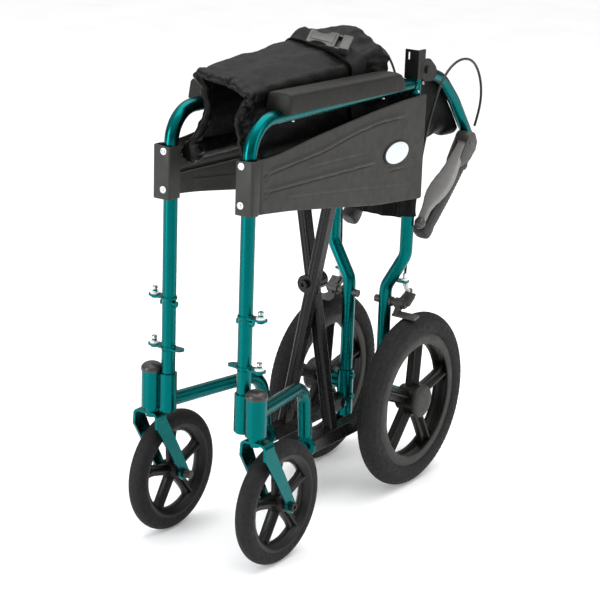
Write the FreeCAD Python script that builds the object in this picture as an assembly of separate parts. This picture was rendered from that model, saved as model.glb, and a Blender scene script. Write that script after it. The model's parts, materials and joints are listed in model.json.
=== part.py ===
import FreeCAD, Part
import math
import os
from FreeCAD import Vector

os.makedirs("parts", exist_ok=True)

# Transport wheelchair, stored folded flat. Millimetres. +X is the user's left, +Y the rear, +Z up.
# The floor is z = 0. Y values are written from a datum a little behind the middle of the folded chair's
# length, and save() moves every sub-part so that the middle is y = 0.

# Driving dimensions
TUBE_R = 11.0                # outer radius of every round frame tube
TUBE_WALL = 1.6
POST_X = 73.0                # front post, upper rear post and arm tube, from the middle plane
FRONT_Y = -314.0             # front post axis
REAR_Y = 137.0               # rear post axis
ARM_Z = 700.0                # axis of the horizontal arm tube
FRONT_BEND_R = 52.0
FOOT_X = 37.0                # lower rear post and lower front tube, from the middle plane
REAR_FOOT_Z = 98.0
STEP_TOP_Z = 408.0           # the rear post steps inboard between these two heights
STEP_LOW_Z = 346.0
STEP_BEND_R = 34.0
SLEEVE_WALL = 3.0            # of the sleeves clamped round a tube

CASTOR_X = 105.0
CASTOR_Y = -262.0
CASTOR_R = 100.0
CASTOR_HALF_W = 13.7
STEM_X = 101.0
STEM_Y = -319.0
HOUSING_LOW = 226.0
HOUSING_TOP = 286.0
HOUSING_R = 16.5
STEM_R = 6.0
CAP_R = 17.5
CAP_SQUASH = 0.62            # height of the cap's dome over its radius

WHEEL_X = 91.0
WHEEL_Y = 149.0
WHEEL_R = 152.5
WHEEL_HALF_W = 18.5
REAR_AXLE_R = 6.0

RAIL_X = 40.0                # pivot axis of the cross brace feet
RAIL_Z = 124.0
RAIL_HALF = 12.0             # half of the square lower rail
RAIL_FRONT_Y = -88.0
RAIL_BACK_Y = 118.0
CROSS_Y = -31.0              # plane where the two braces meet
CROSS_Z = 385.0
SEAT_X = 54.0                # seat rail axis
SEAT_Z = 635.0
SEAT_FRONT_Y = -288.0
SEAT_BACK_Y = 107.0
BRACE_W = 18.0
BRACE_D = 21.0

SEAT_CORNER_X = 47.5
SEAT_CORNER_Z = 772.0
SLING_T = 4.0

HINGE_Y = 153.0              # axis of the folding back
HINGE_Z = 722.0
POST_TOP_Z = 709.0
BACK_TUBE_R = 10.0
RUN_CLEARANCE = 0.05         # radial clearance of a shaft in its hole
PIN_R = 4.0
PIN_HEAD_R = 7.5
MIDDLE_Y = -6.8              # middle of the folded chair's length, from the datum
SIDES = {"left": 1.0, "right": -1.0}


def save(shape, node):
    """Write one sub-part's STEP file, with the chair's middle moved to y = 0."""
    shape = shape.copy()
    shape.translate(Vector(0, -MIDDLE_Y, 0))
    shape.exportStep("parts/" + node + ".step")


def cyl(radius, length, base, axis):
    return Part.makeCylinder(radius, length, Vector(*base), Vector(*axis))


def box(low, high):
    size = [b - a for a, b in zip(low, high)]
    return Part.makeBox(size[0], size[1], size[2], Vector(*low))


def soft_box(low, high, radius, edges="all"):
    """A box with rounded edges; edges may name the axis that the rounded edges run along."""
    solid = box(low, high)
    chosen = solid.Edges
    if edges != "all":
        chosen = [e for e in solid.Edges if abs(abs(e.tangentAt(e.FirstParameter)[edges]) - 1.0) < 1e-6]
    return solid.makeFillet(radius, chosen)


def route(points, radii):
    """Straight runs through the points, joined by tangent arcs of the given radii."""
    points = [Vector(*p) for p in points]
    edges = []
    start = points[0]
    for before, corner, after, radius in zip(points, points[1:], points[2:], radii):
        toward = (before - corner).normalize()
        away = (after - corner).normalize()
        half = math.acos(max(-1.0, min(1.0, toward.dot(away)))) / 2.0
        setback = radius / math.tan(half)
        first = corner + toward * setback
        last = corner + away * setback
        bisector = (toward + away).normalize()
        middle = corner + bisector * (radius / math.sin(half) - radius)
        if (first - start).Length > 0.01:
            edges.append(Part.LineSegment(start, first).toShape())
        edges.append(Part.Arc(first, middle, last).toShape())
        start = last
    edges.append(Part.LineSegment(start, points[-1]).toShape())
    return Part.Wire(edges)


def rod(points, radii, radius):
    """A solid round bar along a route."""
    path = route(points, radii)
    direction = (Vector(*points[1]) - Vector(*points[0])).normalize()
    ring = Part.Wire(Part.Circle(Vector(*points[0]), direction, radius).toShape())
    return path.makePipeShell([ring], True, True)


def tube(points, radii, radius, wall=TUBE_WALL):
    """A round tube along a route, open at both ends."""
    return rod(points, radii, radius).cut(rod(points, radii, radius - wall))


def plate(outline, axis, low, thickness):
    """A flat plate: the outline's points lie across the axis, and it grows along the axis from low."""
    def place(a, b):
        return {"x": Vector(low, a, b), "y": Vector(a, low, b), "z": Vector(a, b, low)}[axis]
    corners = [place(a, b) for a, b in outline]
    face = Part.Face(Part.makePolygon(corners + corners[:1]))
    grow = {"x": Vector(thickness, 0, 0), "y": Vector(0, thickness, 0), "z": Vector(0, 0, thickness)}[axis]
    return face.extrude(grow)


def rounded_plate(outline, axis, low, thickness, radius):
    """A plate whose corners are rounded."""
    solid = plate(outline, axis, low, thickness)
    number = "xyz".index(axis)
    rims = [e for e in solid.Edges if abs(abs(e.tangentAt(e.FirstParameter)[number]) - 1.0) < 1e-6]
    return solid.makeFillet(radius, rims)


def revolve_x(profile, x_middle, y, z):
    """Turn a profile of (x from the middle, radius) points about an X axis through (y, z)."""
    corners = [Vector(x_middle + a, y, z + r) for a, r in profile]
    face = Part.Face(Part.makePolygon(corners + corners[:1]))
    return face.revolve(Vector(x_middle, y, z), Vector(1, 0, 0), 360)


def revolve_z(profile, x, y, z_low):
    """Turn a profile of (radius, height above z_low) points about an upright axis."""
    corners = [Vector(x + r, y, z_low + h) for r, h in profile]
    face = Part.Face(Part.makePolygon(corners + corners[:1]))
    return face.revolve(Vector(x, y, z_low), Vector(0, 0, 1), 360)


def capsule(start, end, start_r, end_r, x_low, thickness):
    """A flat link along X's normal plane: two round (y, z) ends joined by their outer tangents."""
    (y0, z0), (y1, z1) = start, end
    span = math.hypot(y1 - y0, z1 - z0)
    lean = math.atan2(z1 - z0, y1 - y0)
    wrap = math.acos((start_r - end_r) / span)
    corners = []
    for (y, z), r in ((start, start_r), (end, end_r)):
        for turn in (wrap, -wrap):
            corners.append((y + r * math.cos(lean + turn), z + r * math.sin(lean + turn)))
    link = plate([corners[0], corners[2], corners[3], corners[1]], "x", x_low, thickness)
    ends = [cyl(r, thickness, (x_low, y, z), (1, 0, 0)) for (y, z), r in ((start, start_r), (end, end_r))]
    return fuse(link, *ends)


def fuse(*shapes):
    whole = shapes[0]
    for shape in shapes[1:]:
        whole = whole.fuse(shape)
    return whole.removeSplitter()


def mirrored(shape, side):
    """The left-hand shape as it is, or its mirror image for the right-hand side."""
    if side > 0:
        return shape
    return shape.mirror(Vector(0, 0, 0), Vector(1, 0, 0))


# Screws that hold the arm pads and the skirt guards
SCREW_HOLE_R = 2.2
SHANK_R = 2.1
GUARD_FRONT_SCREW_Z = (581.0, 633.0)
GUARD_REAR_SCREW_Z = (530.0, 640.0)
PAD_SCREW_Y = (-213.0, 37.0)

# Frame tubes ------------------------------------------------------------------------------------

COLLAR_FRONT_Y = REAR_Y - 14.0
COLLAR_WALL = 1.5
FRONT_ROUTE = [(POST_X, FRONT_Y, HOUSING_LOW - 3.0), (POST_X, FRONT_Y, ARM_Z), (POST_X, COLLAR_FRONT_Y, ARM_Z)]
CABLE_TAB_X = 66.0
CABLE_TAB_Y = REAR_Y + 13.0
CABLE_TAB_Z = 356.0
CABLE_TAB_T = 3.0


def front_tube():
    """Front post, bent at the top into the arm tube that ends in the rear post's collar."""
    bar = tube(FRONT_ROUTE, [FRONT_BEND_R], TUBE_R)
    for z in GUARD_FRONT_SCREW_Z:
        bar = bar.cut(cyl(SCREW_HOLE_R, TUBE_R, (POST_X, FRONT_Y - TUBE_R - 1.0, z), (0, 1, 0)))
    for y in PAD_SCREW_Y:
        bar = bar.cut(cyl(SCREW_HOLE_R, TUBE_R, (POST_X, y, ARM_Z + 2.0), (0, 0, 1)))
    return bar


def rear_post():
    """Rear post with the inboard step below the seat, and the collar that takes the arm tube."""
    points = [(FOOT_X, REAR_Y, REAR_FOOT_Z), (FOOT_X, REAR_Y, STEP_LOW_Z), (POST_X, REAR_Y, STEP_TOP_Z),
              (POST_X, REAR_Y, POST_TOP_Z)]
    bends = [STEP_BEND_R, STEP_BEND_R]
    post = tube(points, bends, TUBE_R)
    collar_end = REAR_Y - TUBE_R + 2.0
    sleeve = cyl(TUBE_R + COLLAR_WALL, collar_end - COLLAR_FRONT_Y, (POST_X, COLLAR_FRONT_Y, ARM_Z), (0, 1, 0))
    bore = cyl(TUBE_R - TUBE_WALL, 60.0, (POST_X, REAR_Y, ARM_Z - 30.0), (0, 0, 1))
    tab_inner, tab_outer = CABLE_TAB_X - 22.0, CABLE_TAB_X + 7.0
    tab_front, tab_back = REAR_Y + 4.0, REAR_Y + 20.0
    tab = rounded_plate([(tab_inner, tab_front), (tab_outer, tab_front), (tab_outer, tab_back),
                         (tab_inner, tab_back)], "z", CABLE_TAB_Z, CABLE_TAB_T, 5.0)
    tab = tab.cut(cyl(4.0, 10.0, (CABLE_TAB_X, CABLE_TAB_Y, CABLE_TAB_Z - 2.0), (0, 0, 1)))
    tab = tab.cut(rod(points, bends, TUBE_R - TUBE_WALL))
    whole = fuse(post, sleeve.cut(bore), tab)
    for z in GUARD_REAR_SCREW_Z:
        whole = whole.cut(cyl(SCREW_HOLE_R, TUBE_R, (POST_X + 2.0, REAR_Y, z), (1, 0, 0)))
    return whole


LOWER_FRONT_Z = 240.0
LOWER_BACK_Y = -108.0
LOWER_X = 43.0
LOWER_BEND_R = 38.0
EAR_T = 5.0
EAR_GAP = 1.0                # between an ear and the end of the rail it carries


def lower_tube():
    """Lower front tube: back and inboard from the front post, then down to the front rail pivot."""
    points = [(POST_X, FRONT_Y + 6.0, LOWER_FRONT_Z), (LOWER_X, LOWER_BACK_Y, LOWER_FRONT_Z - 4.0),
              (RAIL_X, LOWER_BACK_Y + 10.0, RAIL_Z + 22.0)]
    bends = [LOWER_BEND_R]
    ear_back = RAIL_FRONT_Y - EAR_GAP
    bar = tube(points, bends, TUBE_R)
    ear = cyl(17.0, EAR_T, (RAIL_X, ear_back - EAR_T, RAIL_Z), (0, 1, 0))
    neck = box((RAIL_X - 9.0, ear_back - EAR_T, RAIL_Z), (RAIL_X + 9.0, ear_back, RAIL_Z + 46.0))
    hollow = rod(points, bends, TUBE_R - TUBE_WALL)
    sleeve = cyl(TUBE_R + SLEEVE_WALL, 90.0, (POST_X, FRONT_Y, LOWER_FRONT_Z - 40.0), (0, 0, 1))
    pin = cyl(PIN_R, 16.0, (RAIL_X, RAIL_FRONT_Y - 3.0, RAIL_Z), (0, 1, 0))
    head = cyl(PIN_HEAD_R, 5.0, (RAIL_X, RAIL_FRONT_Y - 11.0, RAIL_Z), (0, 1, 0))
    return fuse(bar.cut(sleeve), ear, neck.cut(hollow), pin, head)


def castor_housing():
    """Sleeve clamped on the front post, with the upright stem housing welded beside it."""
    height = HOUSING_TOP - HOUSING_LOW
    sleeve = cyl(TUBE_R + SLEEVE_WALL, height, (POST_X, FRONT_Y, HOUSING_LOW), (0, 0, 1))
    stem = cyl(HOUSING_R, height, (STEM_X, STEM_Y, HOUSING_LOW), (0, 0, 1))
    web = box((POST_X, FRONT_Y - 9.0, HOUSING_LOW + 4.0), (STEM_X, FRONT_Y + 5.0, HOUSING_TOP - 4.0))
    body = fuse(sleeve, stem, web)
    body = body.cut(cyl(TUBE_R, height + 30.0, (POST_X, FRONT_Y, HOUSING_LOW - 10.0), (0, 0, 1)))
    return body.cut(cyl(STEM_R + RUN_CLEARANCE, height + 30.0, (STEM_X, STEM_Y, HOUSING_LOW - 10.0), (0, 0, 1)))


def housing_cap():
    """Domed plastic cap on the stem housing."""
    rim_h = 4.0
    dome_z = HOUSING_TOP + rim_h - 1.0
    rim = cyl(CAP_R, rim_h, (STEM_X, STEM_Y, HOUSING_TOP), (0, 0, 1))
    dome = Part.makeSphere(CAP_R, Vector(STEM_X, STEM_Y, dome_z), Vector(0, 0, 1), 0, 90, 360)
    squash = FreeCAD.Matrix()
    squash.scale(1.0, 1.0, CAP_SQUASH)
    dome = dome.transformGeometry(squash)
    dome.translate(Vector(0, 0, dome_z * (1.0 - CAP_SQUASH)))
    return fuse(rim, dome)


FOOT_PIN_X = 101.0
FOOT_PIN_R = 4.0
FOOT_PIN_LENGTH = 12.0
UPPER_HANGER_Z = 406.0
LOWER_HANGER_Z = 326.0
HANGER_T = 3.0
HANGER_REACH = 38.5          # from the post's axis to the plates' outer ends
HANGER_HALF_W = 9.0


def hanger_plate(height, inboard):
    """A round-ended plate on the front post that reaches inboard by the given length, with its upright pin."""
    inner_x, outer_x = POST_X - inboard, POST_X + HANGER_REACH - HANGER_HALF_W
    ends = [cyl(HANGER_HALF_W, HANGER_T, (x, FRONT_Y, height), (0, 0, 1)) for x in (inner_x, outer_x)]
    bar = box((inner_x, FRONT_Y - HANGER_HALF_W, height), (outer_x, FRONT_Y + HANGER_HALF_W, height + HANGER_T))
    weld = revolve_z([(TUBE_R, -2.5), (TUBE_R + 1.6, 0.0), (TUBE_R + 1.6, HANGER_T), (TUBE_R, HANGER_T + 2.5)],
                     POST_X, FRONT_Y, height)
    pin = cyl(FOOT_PIN_R, FOOT_PIN_LENGTH + HANGER_T, (FOOT_PIN_X, FRONT_Y, height), (0, 0, 1))
    washer = cyl(7.0, 1.5, (FOOT_PIN_X, FRONT_Y, height + HANGER_T), (0, 0, 1))
    nut = cyl(6.0, 3.0, (FOOT_PIN_X, FRONT_Y, height - 3.0), (0, 0, 1))
    hole = cyl(TUBE_R, 40.0, (POST_X, FRONT_Y, height - 20.0), (0, 0, 1))
    return fuse(*ends, bar, weld, pin, washer, nut).cut(hole)


def footrest_bracket():
    """The two hanger plates of a footrest, and the rivet heads beside the upper one."""
    upper = hanger_plate(UPPER_HANGER_Z, 0.0)
    lower = hanger_plate(LOWER_HANGER_Z, 20.0)
    rivets = [cyl(5.0, 5.5, (x, FRONT_Y, UPPER_HANGER_Z - 7.0), (1, 0, 0))
              for x in (POST_X - TUBE_R - 3.5, POST_X + TUBE_R - 2.0)]
    post = cyl(TUBE_R, 60.0, (POST_X, FRONT_Y, UPPER_HANGER_Z - 30.0), (0, 0, 1))
    rivets = fuse(*rivets).cut(post)
    return Part.makeCompound([upper, lower] + rivets.Solids)


# Arm pad and skirt guard ------------------------------------------------------------------------

PAD_LOW_Z = 711.4           # underside of the pad where it lies on the tube
PAD_SKIRT_Z = 702.0          # lower edge of the flanks that hug the tube
PAD_TOP_Z = 733.0
PAD_FRONT_Y = -248.0
PAD_BACK_Y = 77.0
PAD_HALF_W = 23.0
GUARD_X = 87.0
GUARD_T = 3.0
WRAP_LOW_Z = 565.0           # the guard's front edge, wrapped over the post between these heights
WRAP_TOP_Z = 647.0
WRAP_R = 17.0
GUARD_OUTLINE = [(FRONT_Y + 10.0, WRAP_TOP_Z), (-234.0, 650.0), (-156.0, 658.0), (-75.0, 667.0), (10.0, 677.0),
                 (147.0, 683.0), (152.0, 505.0), (39.0, 512.0), (-78.0, 526.0),
                 (FRONT_Y + 10.0, WRAP_LOW_Z - 1.0)]


def arm_pad():
    """Moulded arm pad, rounded all round, with flanks that hug the arm tube."""
    low = (POST_X - PAD_HALF_W, PAD_FRONT_Y, PAD_SKIRT_Z)
    high = (POST_X + PAD_HALF_W, PAD_BACK_Y, PAD_TOP_Z)
    pad = soft_box(low, high, 7.0)
    pad = pad.cut(rod(FRONT_ROUTE, [FRONT_BEND_R], PAD_LOW_Z - ARM_Z))
    for y in PAD_SCREW_Y:
        pad = pad.cut(cyl(SCREW_HOLE_R, 12.0, (POST_X, y, PAD_LOW_Z - 1.0), (0, 0, 1)))
    return pad


def skirt_guard():
    """Thin moulded side panel, with a front edge that wraps forward over the front post."""
    panel = rounded_plate(GUARD_OUTLINE, "x", GUARD_X, GUARD_T, 4.0)
    height = WRAP_TOP_Z - WRAP_LOW_Z
    wrap_outer = cyl(WRAP_R, height, (POST_X, FRONT_Y, WRAP_LOW_Z), (0, 0, 1))
    wrap_inner = cyl(TUBE_R + 0.5, height + 8.0, (POST_X, FRONT_Y, WRAP_LOW_Z - 5.0), (0, 0, 1))
    front_half = box((POST_X - 9.0, FRONT_Y - 30.0, WRAP_LOW_Z - 5.0),
                     (POST_X + 40.0, FRONT_Y + 0.5, WRAP_TOP_Z + 3.0))
    wrap = wrap_outer.cut(wrap_inner).common(front_half)
    strip = box((GUARD_X - 0.5, FRONT_Y - 4.0, WRAP_LOW_Z), (GUARD_X + GUARD_T, FRONT_Y + 16.0, WRAP_TOP_Z))
    guard = fuse(panel, wrap, strip)
    for z in GUARD_FRONT_SCREW_Z:
        guard = guard.cut(cyl(SCREW_HOLE_R, 14.0, (POST_X, FRONT_Y - 20.0, z), (0, 1, 0)))
    for z in GUARD_REAR_SCREW_Z:
        guard = guard.cut(cyl(SCREW_HOLE_R, 10.0, (GUARD_X - 2.0, REAR_Y, z), (1, 0, 0)))
    return guard


def frame_screws():
    """Pan-head screws: two through the guard's front, two in its rear edge, two under the pad."""
    screws = []
    for z in GUARD_FRONT_SCREW_Z:
        shank = cyl(SHANK_R, 8.5, (POST_X, FRONT_Y - 19.0, z), (0, 1, 0))
        washer = cyl(5.5, 1.0, (POST_X, FRONT_Y - 18.2, z), (0, 1, 0))
        head = cyl(3.8, 2.6, (POST_X, FRONT_Y - 20.6, z), (0, 1, 0))
        screws.append(fuse(shank, washer, head))
    for z in GUARD_REAR_SCREW_Z:
        shank = cyl(SHANK_R, 8.0, (GUARD_X - 4.5, REAR_Y, z), (1, 0, 0))
        head = cyl(4.5, 2.4, (GUARD_X + GUARD_T, REAR_Y, z), (1, 0, 0))
        spacer = cyl(6.0, GUARD_X - POST_X - TUBE_R, (POST_X + TUBE_R, REAR_Y, z), (1, 0, 0))
        screws.append(fuse(shank, head, spacer))
    for y in PAD_SCREW_Y:
        screws.append(cyl(SHANK_R, 12.0, (POST_X, y, PAD_LOW_Z - 3.0), (0, 0, 1)))
    return Part.makeCompound(screws)


# Rear axle, brake and hinge brackets -------------------------------------------------------------

BOSS_END_X = 69.0            # where the axle leaves the bracket's boss
AXLE_NUT_X = 108.4
AXLE_BOLT_Z = (171.0, 133.0)


def axle_bracket():
    """Sleeve on the foot of the rear post that carries the wheel axle and the rear rail pivot."""
    sleeve = cyl(TUBE_R + SLEEVE_WALL, 82.0, (FOOT_X, REAR_Y, REAR_FOOT_Z), (0, 0, 1))
    boss = cyl(15.0, BOSS_END_X - FOOT_X, (FOOT_X, WHEEL_Y, WHEEL_R), (1, 0, 0))
    ear = cyl(16.0, EAR_T, (RAIL_X, RAIL_BACK_Y + 0.8, RAIL_Z), (0, 1, 0))
    axle = cyl(REAR_AXLE_R, 44.0, (BOSS_END_X - 1.0, WHEEL_Y, WHEEL_R), (1, 0, 0))
    axle_nut = cyl(9.0, 4.6, (AXLE_NUT_X, WHEEL_Y, WHEEL_R), (1, 0, 0))
    pin = cyl(PIN_R, 16.0, (RAIL_X, RAIL_BACK_Y - 13.0, RAIL_Z), (0, 1, 0))
    bolts = [cyl(5.5, 4.0, (FOOT_X - TUBE_R - 6.0, REAR_Y, z), (1, 0, 0)) for z in AXLE_BOLT_Z]
    solid = fuse(sleeve, boss, ear, axle, axle_nut, pin, *bolts)
    return solid.cut(cyl(TUBE_R, 120.0, (FOOT_X, REAR_Y, REAR_FOOT_Z - 18.0), (0, 0, 1)))


BRAKE_X = 58.0               # where the brake's stub narrows to its pivot pin
BRAKE_Z = 322.0
SHOE_GAP = 2.3               # between the shoe and the tyre while the brake is off
SHOE_T = 4.5
BRAKE_HEAD_R = 6.5


def brake_mount():
    """Stub through the lower rear post, with the pivot pin of the wheel brake and its end washer."""
    stub = cyl(BRAKE_HEAD_R, BRAKE_X - 18.0, (18.0, REAR_Y, BRAKE_Z), (1, 0, 0))
    collar = cyl(8.5, 5.0, (FOOT_X + TUBE_R - 1.0, REAR_Y, BRAKE_Z), (1, 0, 0))
    pivot = cyl(PIN_R, 24.0, (BRAKE_X - 2.0, REAR_Y, BRAKE_Z), (1, 0, 0))
    head = cyl(BRAKE_HEAD_R, 3.0, (BRAKE_X + 19.0, REAR_Y, BRAKE_Z), (1, 0, 0))
    solid = fuse(stub, collar, pivot, head)
    return solid.cut(cyl(TUBE_R, 60.0, (FOOT_X, REAR_Y, BRAKE_Z - 32.0), (0, 0, 1)))


def tread_height(y, gap):
    """Height above the floor of a point that clears the rear tyre's top by the gap."""
    return WHEEL_R + math.sqrt((WHEEL_R + gap) ** 2 - (y - WHEEL_Y) ** 2)


def brake_arm():
    """Brake arm on the mount's pin: a lug that the cable pulls up, and a shoe that lies over the tyre."""
    low_x = BRAKE_X + 1.0
    hub = cyl(9.0, 17.5, (low_x, REAR_Y, BRAKE_Z), (1, 0, 0))
    lug = capsule((REAR_Y, BRAKE_Z), (REAR_Y + 27.0, BRAKE_Z + 15.0), 9.0, 6.0, low_x + 7.0, 5.0)
    front, back = REAR_Y - 22.0, REAR_Y - 5.0
    front_z, back_z = tread_height(front, SHOE_GAP), tread_height(back, SHOE_GAP)
    shoe_x = low_x + 6.0
    shoe = rounded_plate([(front, front_z), (back, back_z), (back, back_z + SHOE_T), (front, front_z + SHOE_T)],
                         "x", shoe_x, WHEEL_X + WHEEL_HALF_W - shoe_x, 1.2)
    neck = plate([(REAR_Y - 20.0, BRAKE_Z - 15.0), (REAR_Y - 6.0, BRAKE_Z - 13.5), (REAR_Y + 2.0, BRAKE_Z - 2.0),
                  (REAR_Y - 8.0, BRAKE_Z + 2.0)], "x", shoe_x, 8.0)
    solid = fuse(hub, lug, shoe, neck)
    return solid.cut(cyl(PIN_R + RUN_CLEARANCE, 60.0, (BRAKE_X - 10.0, REAR_Y, BRAKE_Z), (1, 0, 0)))


CHANNEL_Y = REAR_Y - 13.0    # front face of the hinge's channel
CHANNEL_HALF = 12.9
CHANNEL_WALL = 2.4
CHANNEL_TOP_Z = 757.0
CHANNEL_DEPTH = 22.0
CHEEK_R = 19.0
CHEEK_END_R = 14.0


def hinge_bracket():
    """Upright channel on top of the rear post, and two rounded cheeks with the pin of the folding back."""
    low_x, high_x = POST_X - CHANNEL_HALF, POST_X + CHANNEL_HALF
    front = box((low_x, CHANNEL_Y, POST_TOP_Z), (high_x, CHANNEL_Y + CHANNEL_WALL, CHANNEL_TOP_Z))
    slot = soft_box((low_x + 5.0, CHANNEL_Y - 2.0, CHANNEL_TOP_Z - 17.0),
                    (low_x + 9.0, CHANNEL_Y + CHANNEL_WALL + 2.0, CHANNEL_TOP_Z - 4.0), 1.9, 1)
    floor = box((low_x, CHANNEL_Y, POST_TOP_Z), (high_x, CHANNEL_Y + 26.0, POST_TOP_Z + CHANNEL_WALL))
    parts = [front.cut(slot), floor]
    channel_back = CHANNEL_Y + CHANNEL_DEPTH
    for x, top in ((low_x, CHANNEL_TOP_Z - 20.0), (high_x - CHANNEL_WALL, CHANNEL_TOP_Z)):
        side = [(CHANNEL_Y, POST_TOP_Z), (channel_back, POST_TOP_Z), (channel_back, top), (CHANNEL_Y, top)]
        parts.append(rounded_plate(side, "x", x, CHANNEL_WALL, 1.0))
    cheek_end = (HINGE_Y + 16.0, HINGE_Z - 6.0)
    for x in (low_x - 0.4, high_x - CHANNEL_WALL + 0.4):
        parts.append(capsule((HINGE_Y, HINGE_Z), cheek_end, CHEEK_R, CHEEK_END_R, x, CHANNEL_WALL))
    pin = cyl(PIN_R, 2.0 * CHANNEL_HALF + 8.0, (low_x - 4.0, HINGE_Y, HINGE_Z), (1, 0, 0))
    heads = [cyl(6.5, 3.2, (x, HINGE_Y, HINGE_Z), (1, 0, 0)) for x in (low_x - 3.6, high_x + 0.4)]
    post = cyl(TUBE_R, 60.0, (POST_X, REAR_Y, POST_TOP_Z - 60.0), (0, 0, 1))
    arm_collar = cyl(TUBE_R + COLLAR_WALL, 40.0, (POST_X, REAR_Y - 45.0, ARM_Z), (0, 1, 0))
    return fuse(*parts, pin, *heads).cut(post).cut(arm_collar)


# Castor -----------------------------------------------------------------------------------------

HUB_HALF = 17.0              # half of the castor hub's length
FORK_TOP_Z = 219.0
FORK_T = 4.0
FORK_STRAP_HALF = 10.5       # half of the strap's width
FORK_SHOULDER = 23.5         # outer faces of the legs, from the wheel's middle, at the shoulders
FORK_SPAN = 27.3             # and at the axle
FORK_KNEE_Z = 152.0          # the legs flare above this height and run straight down below it


def castor_fork():
    """Fork bent from one strap: crown, rounded shoulders, legs that flare and slant back to the axle."""
    foot_z = CASTOR_R - FORK_STRAP_HALF - 3.0
    outer = [(-FORK_SPAN, foot_z), (-FORK_SPAN, FORK_KNEE_Z), (-FORK_SHOULDER, FORK_TOP_Z),
             (FORK_SHOULDER, FORK_TOP_Z), (FORK_SPAN, FORK_KNEE_Z), (FORK_SPAN, foot_z)]
    inner_span = FORK_SPAN - FORK_T
    inner_shoulder = FORK_SHOULDER - FORK_T - 0.4
    inner = [(-inner_span, foot_z - 5.0), (-inner_span, FORK_KNEE_Z - 1.0), (-inner_shoulder, FORK_TOP_Z - FORK_T),
             (inner_shoulder, FORK_TOP_Z - FORK_T), (inner_span, FORK_KNEE_Z - 1.0), (inner_span, foot_z - 5.0)]

    def arch(points, shoulder_r):
        solid = plate([(CASTOR_X + x, z) for x, z in points], "y", CASTOR_Y - 90.0, 140.0)
        top_z = points[2][1]
        shoulders = []
        for edge in solid.Edges:
            ends = edge.Vertexes
            if ends[0].Y != ends[1].Y and abs(ends[0].Z - top_z) < 0.01:
                shoulders.append(edge)
        return solid.makeFillet(shoulder_r, shoulders)

    band = arch(outer, 9.0).cut(arch(inner, 5.0))
    half = FORK_STRAP_HALF
    crown_front, crown_back = STEM_Y - half - 1.0, STEM_Y + half + 1.0
    strap = plate([(crown_front, FORK_TOP_Z + 1.0), (crown_back, FORK_TOP_Z + 1.0),
                   (crown_back, FORK_TOP_Z - 12.0), (CASTOR_Y + half, CASTOR_R + 3.0), (CASTOR_Y + half, CASTOR_R - 4.0),
                   (CASTOR_Y + 5.0, CASTOR_R - half), (CASTOR_Y - 5.0, CASTOR_R - half),
                   (CASTOR_Y - half, CASTOR_R - 4.0), (CASTOR_Y - half, CASTOR_R + 3.0),
                   (crown_front, FORK_TOP_Z - 26.0)], "x", CASTOR_X - 60.0, 120.0)
    fork = band.common(strap)
    stem = cyl(STEM_R, 61.0, (STEM_X, STEM_Y, FORK_TOP_Z - 2.0), (0, 0, 1))
    bearing = cyl(12.0, HOUSING_LOW - 0.4 - FORK_TOP_Z + 1.0, (STEM_X, STEM_Y, FORK_TOP_Z - 1.0), (0, 0, 1))
    nut = cyl(8.5, 6.0, (STEM_X, STEM_Y, FORK_TOP_Z - FORK_T - 5.5), (0, 0, 1))
    axle = cyl(PIN_R, 2.0 * FORK_SPAN + 2.0, (CASTOR_X - FORK_SPAN - 1.0, CASTOR_Y, CASTOR_R), (1, 0, 0))
    heads = [cyl(7.0, 3.0, (x, CASTOR_Y, CASTOR_R), (1, 0, 0))
             for x in (CASTOR_X - FORK_SPAN - 2.8, CASTOR_X + FORK_SPAN - 0.2)]
    spacers = [cyl(7.0, inner_span - HUB_HALF - 0.3, (x, CASTOR_Y, CASTOR_R), (1, 0, 0))
               for x in (CASTOR_X - inner_span - 0.1, CASTOR_X + HUB_HALF + 0.4)]
    return fuse(fork, stem, bearing, nut, axle, *heads, *spacers)


SPOKES = 5


def spoke_set(x_middle, y, z, first_angle, hub_r, rim_r, thick, half_width):
    """Five moulded spokes, each a web with a rib along its middle; the first leans back by first_angle."""
    spokes = []
    for number in range(SPOKES):
        web = box((x_middle - half_width * 0.62, y - thick, z + hub_r - 2.0),
                  (x_middle + half_width * 0.62, y + thick, z + rim_r + 1.0))
        rib = box((x_middle - half_width, y - thick * 0.35, z + hub_r - 2.0),
                  (x_middle + half_width, y + thick * 0.35, z + rim_r + 1.0))
        spoke = web.fuse(rib)
        spoke.rotate(Vector(x_middle, y, z), Vector(1, 0, 0), -first_angle - 360.0 / SPOKES * number)
        spokes.append(spoke)
    return spokes


def castor_rim():
    """Five-spoke moulded castor centre, bored for the axle bolt."""
    hub = revolve_x([(-HUB_HALF, 0.0), (-HUB_HALF, 10.5), (-10.0, 15.0), (-4.0, 16.8), (4.0, 16.8),
                     (10.0, 15.0), (HUB_HALF, 10.5), (HUB_HALF, 0.0)], CASTOR_X, CASTOR_Y, CASTOR_R)
    ring = revolve_x([(-13.0, 78.0), (-13.3, 74.5), (-9.8, 70.0), (-6.6, 66.2), (-2.8, 64.0), (2.8, 64.0),
                      (6.6, 66.2), (9.8, 70.0), (13.3, 74.5), (13.0, 78.0)], CASTOR_X, CASTOR_Y, CASTOR_R)
    spokes = spoke_set(CASTOR_X, CASTOR_Y, CASTOR_R, -4.0, 13.5, 66.0, 8.0, 10.0)
    bore = cyl(PIN_R + RUN_CLEARANCE, 40.0, (CASTOR_X - 20.0, CASTOR_Y, CASTOR_R), (1, 0, 0))
    return fuse(hub, ring, *spokes).cut(bore)


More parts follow.
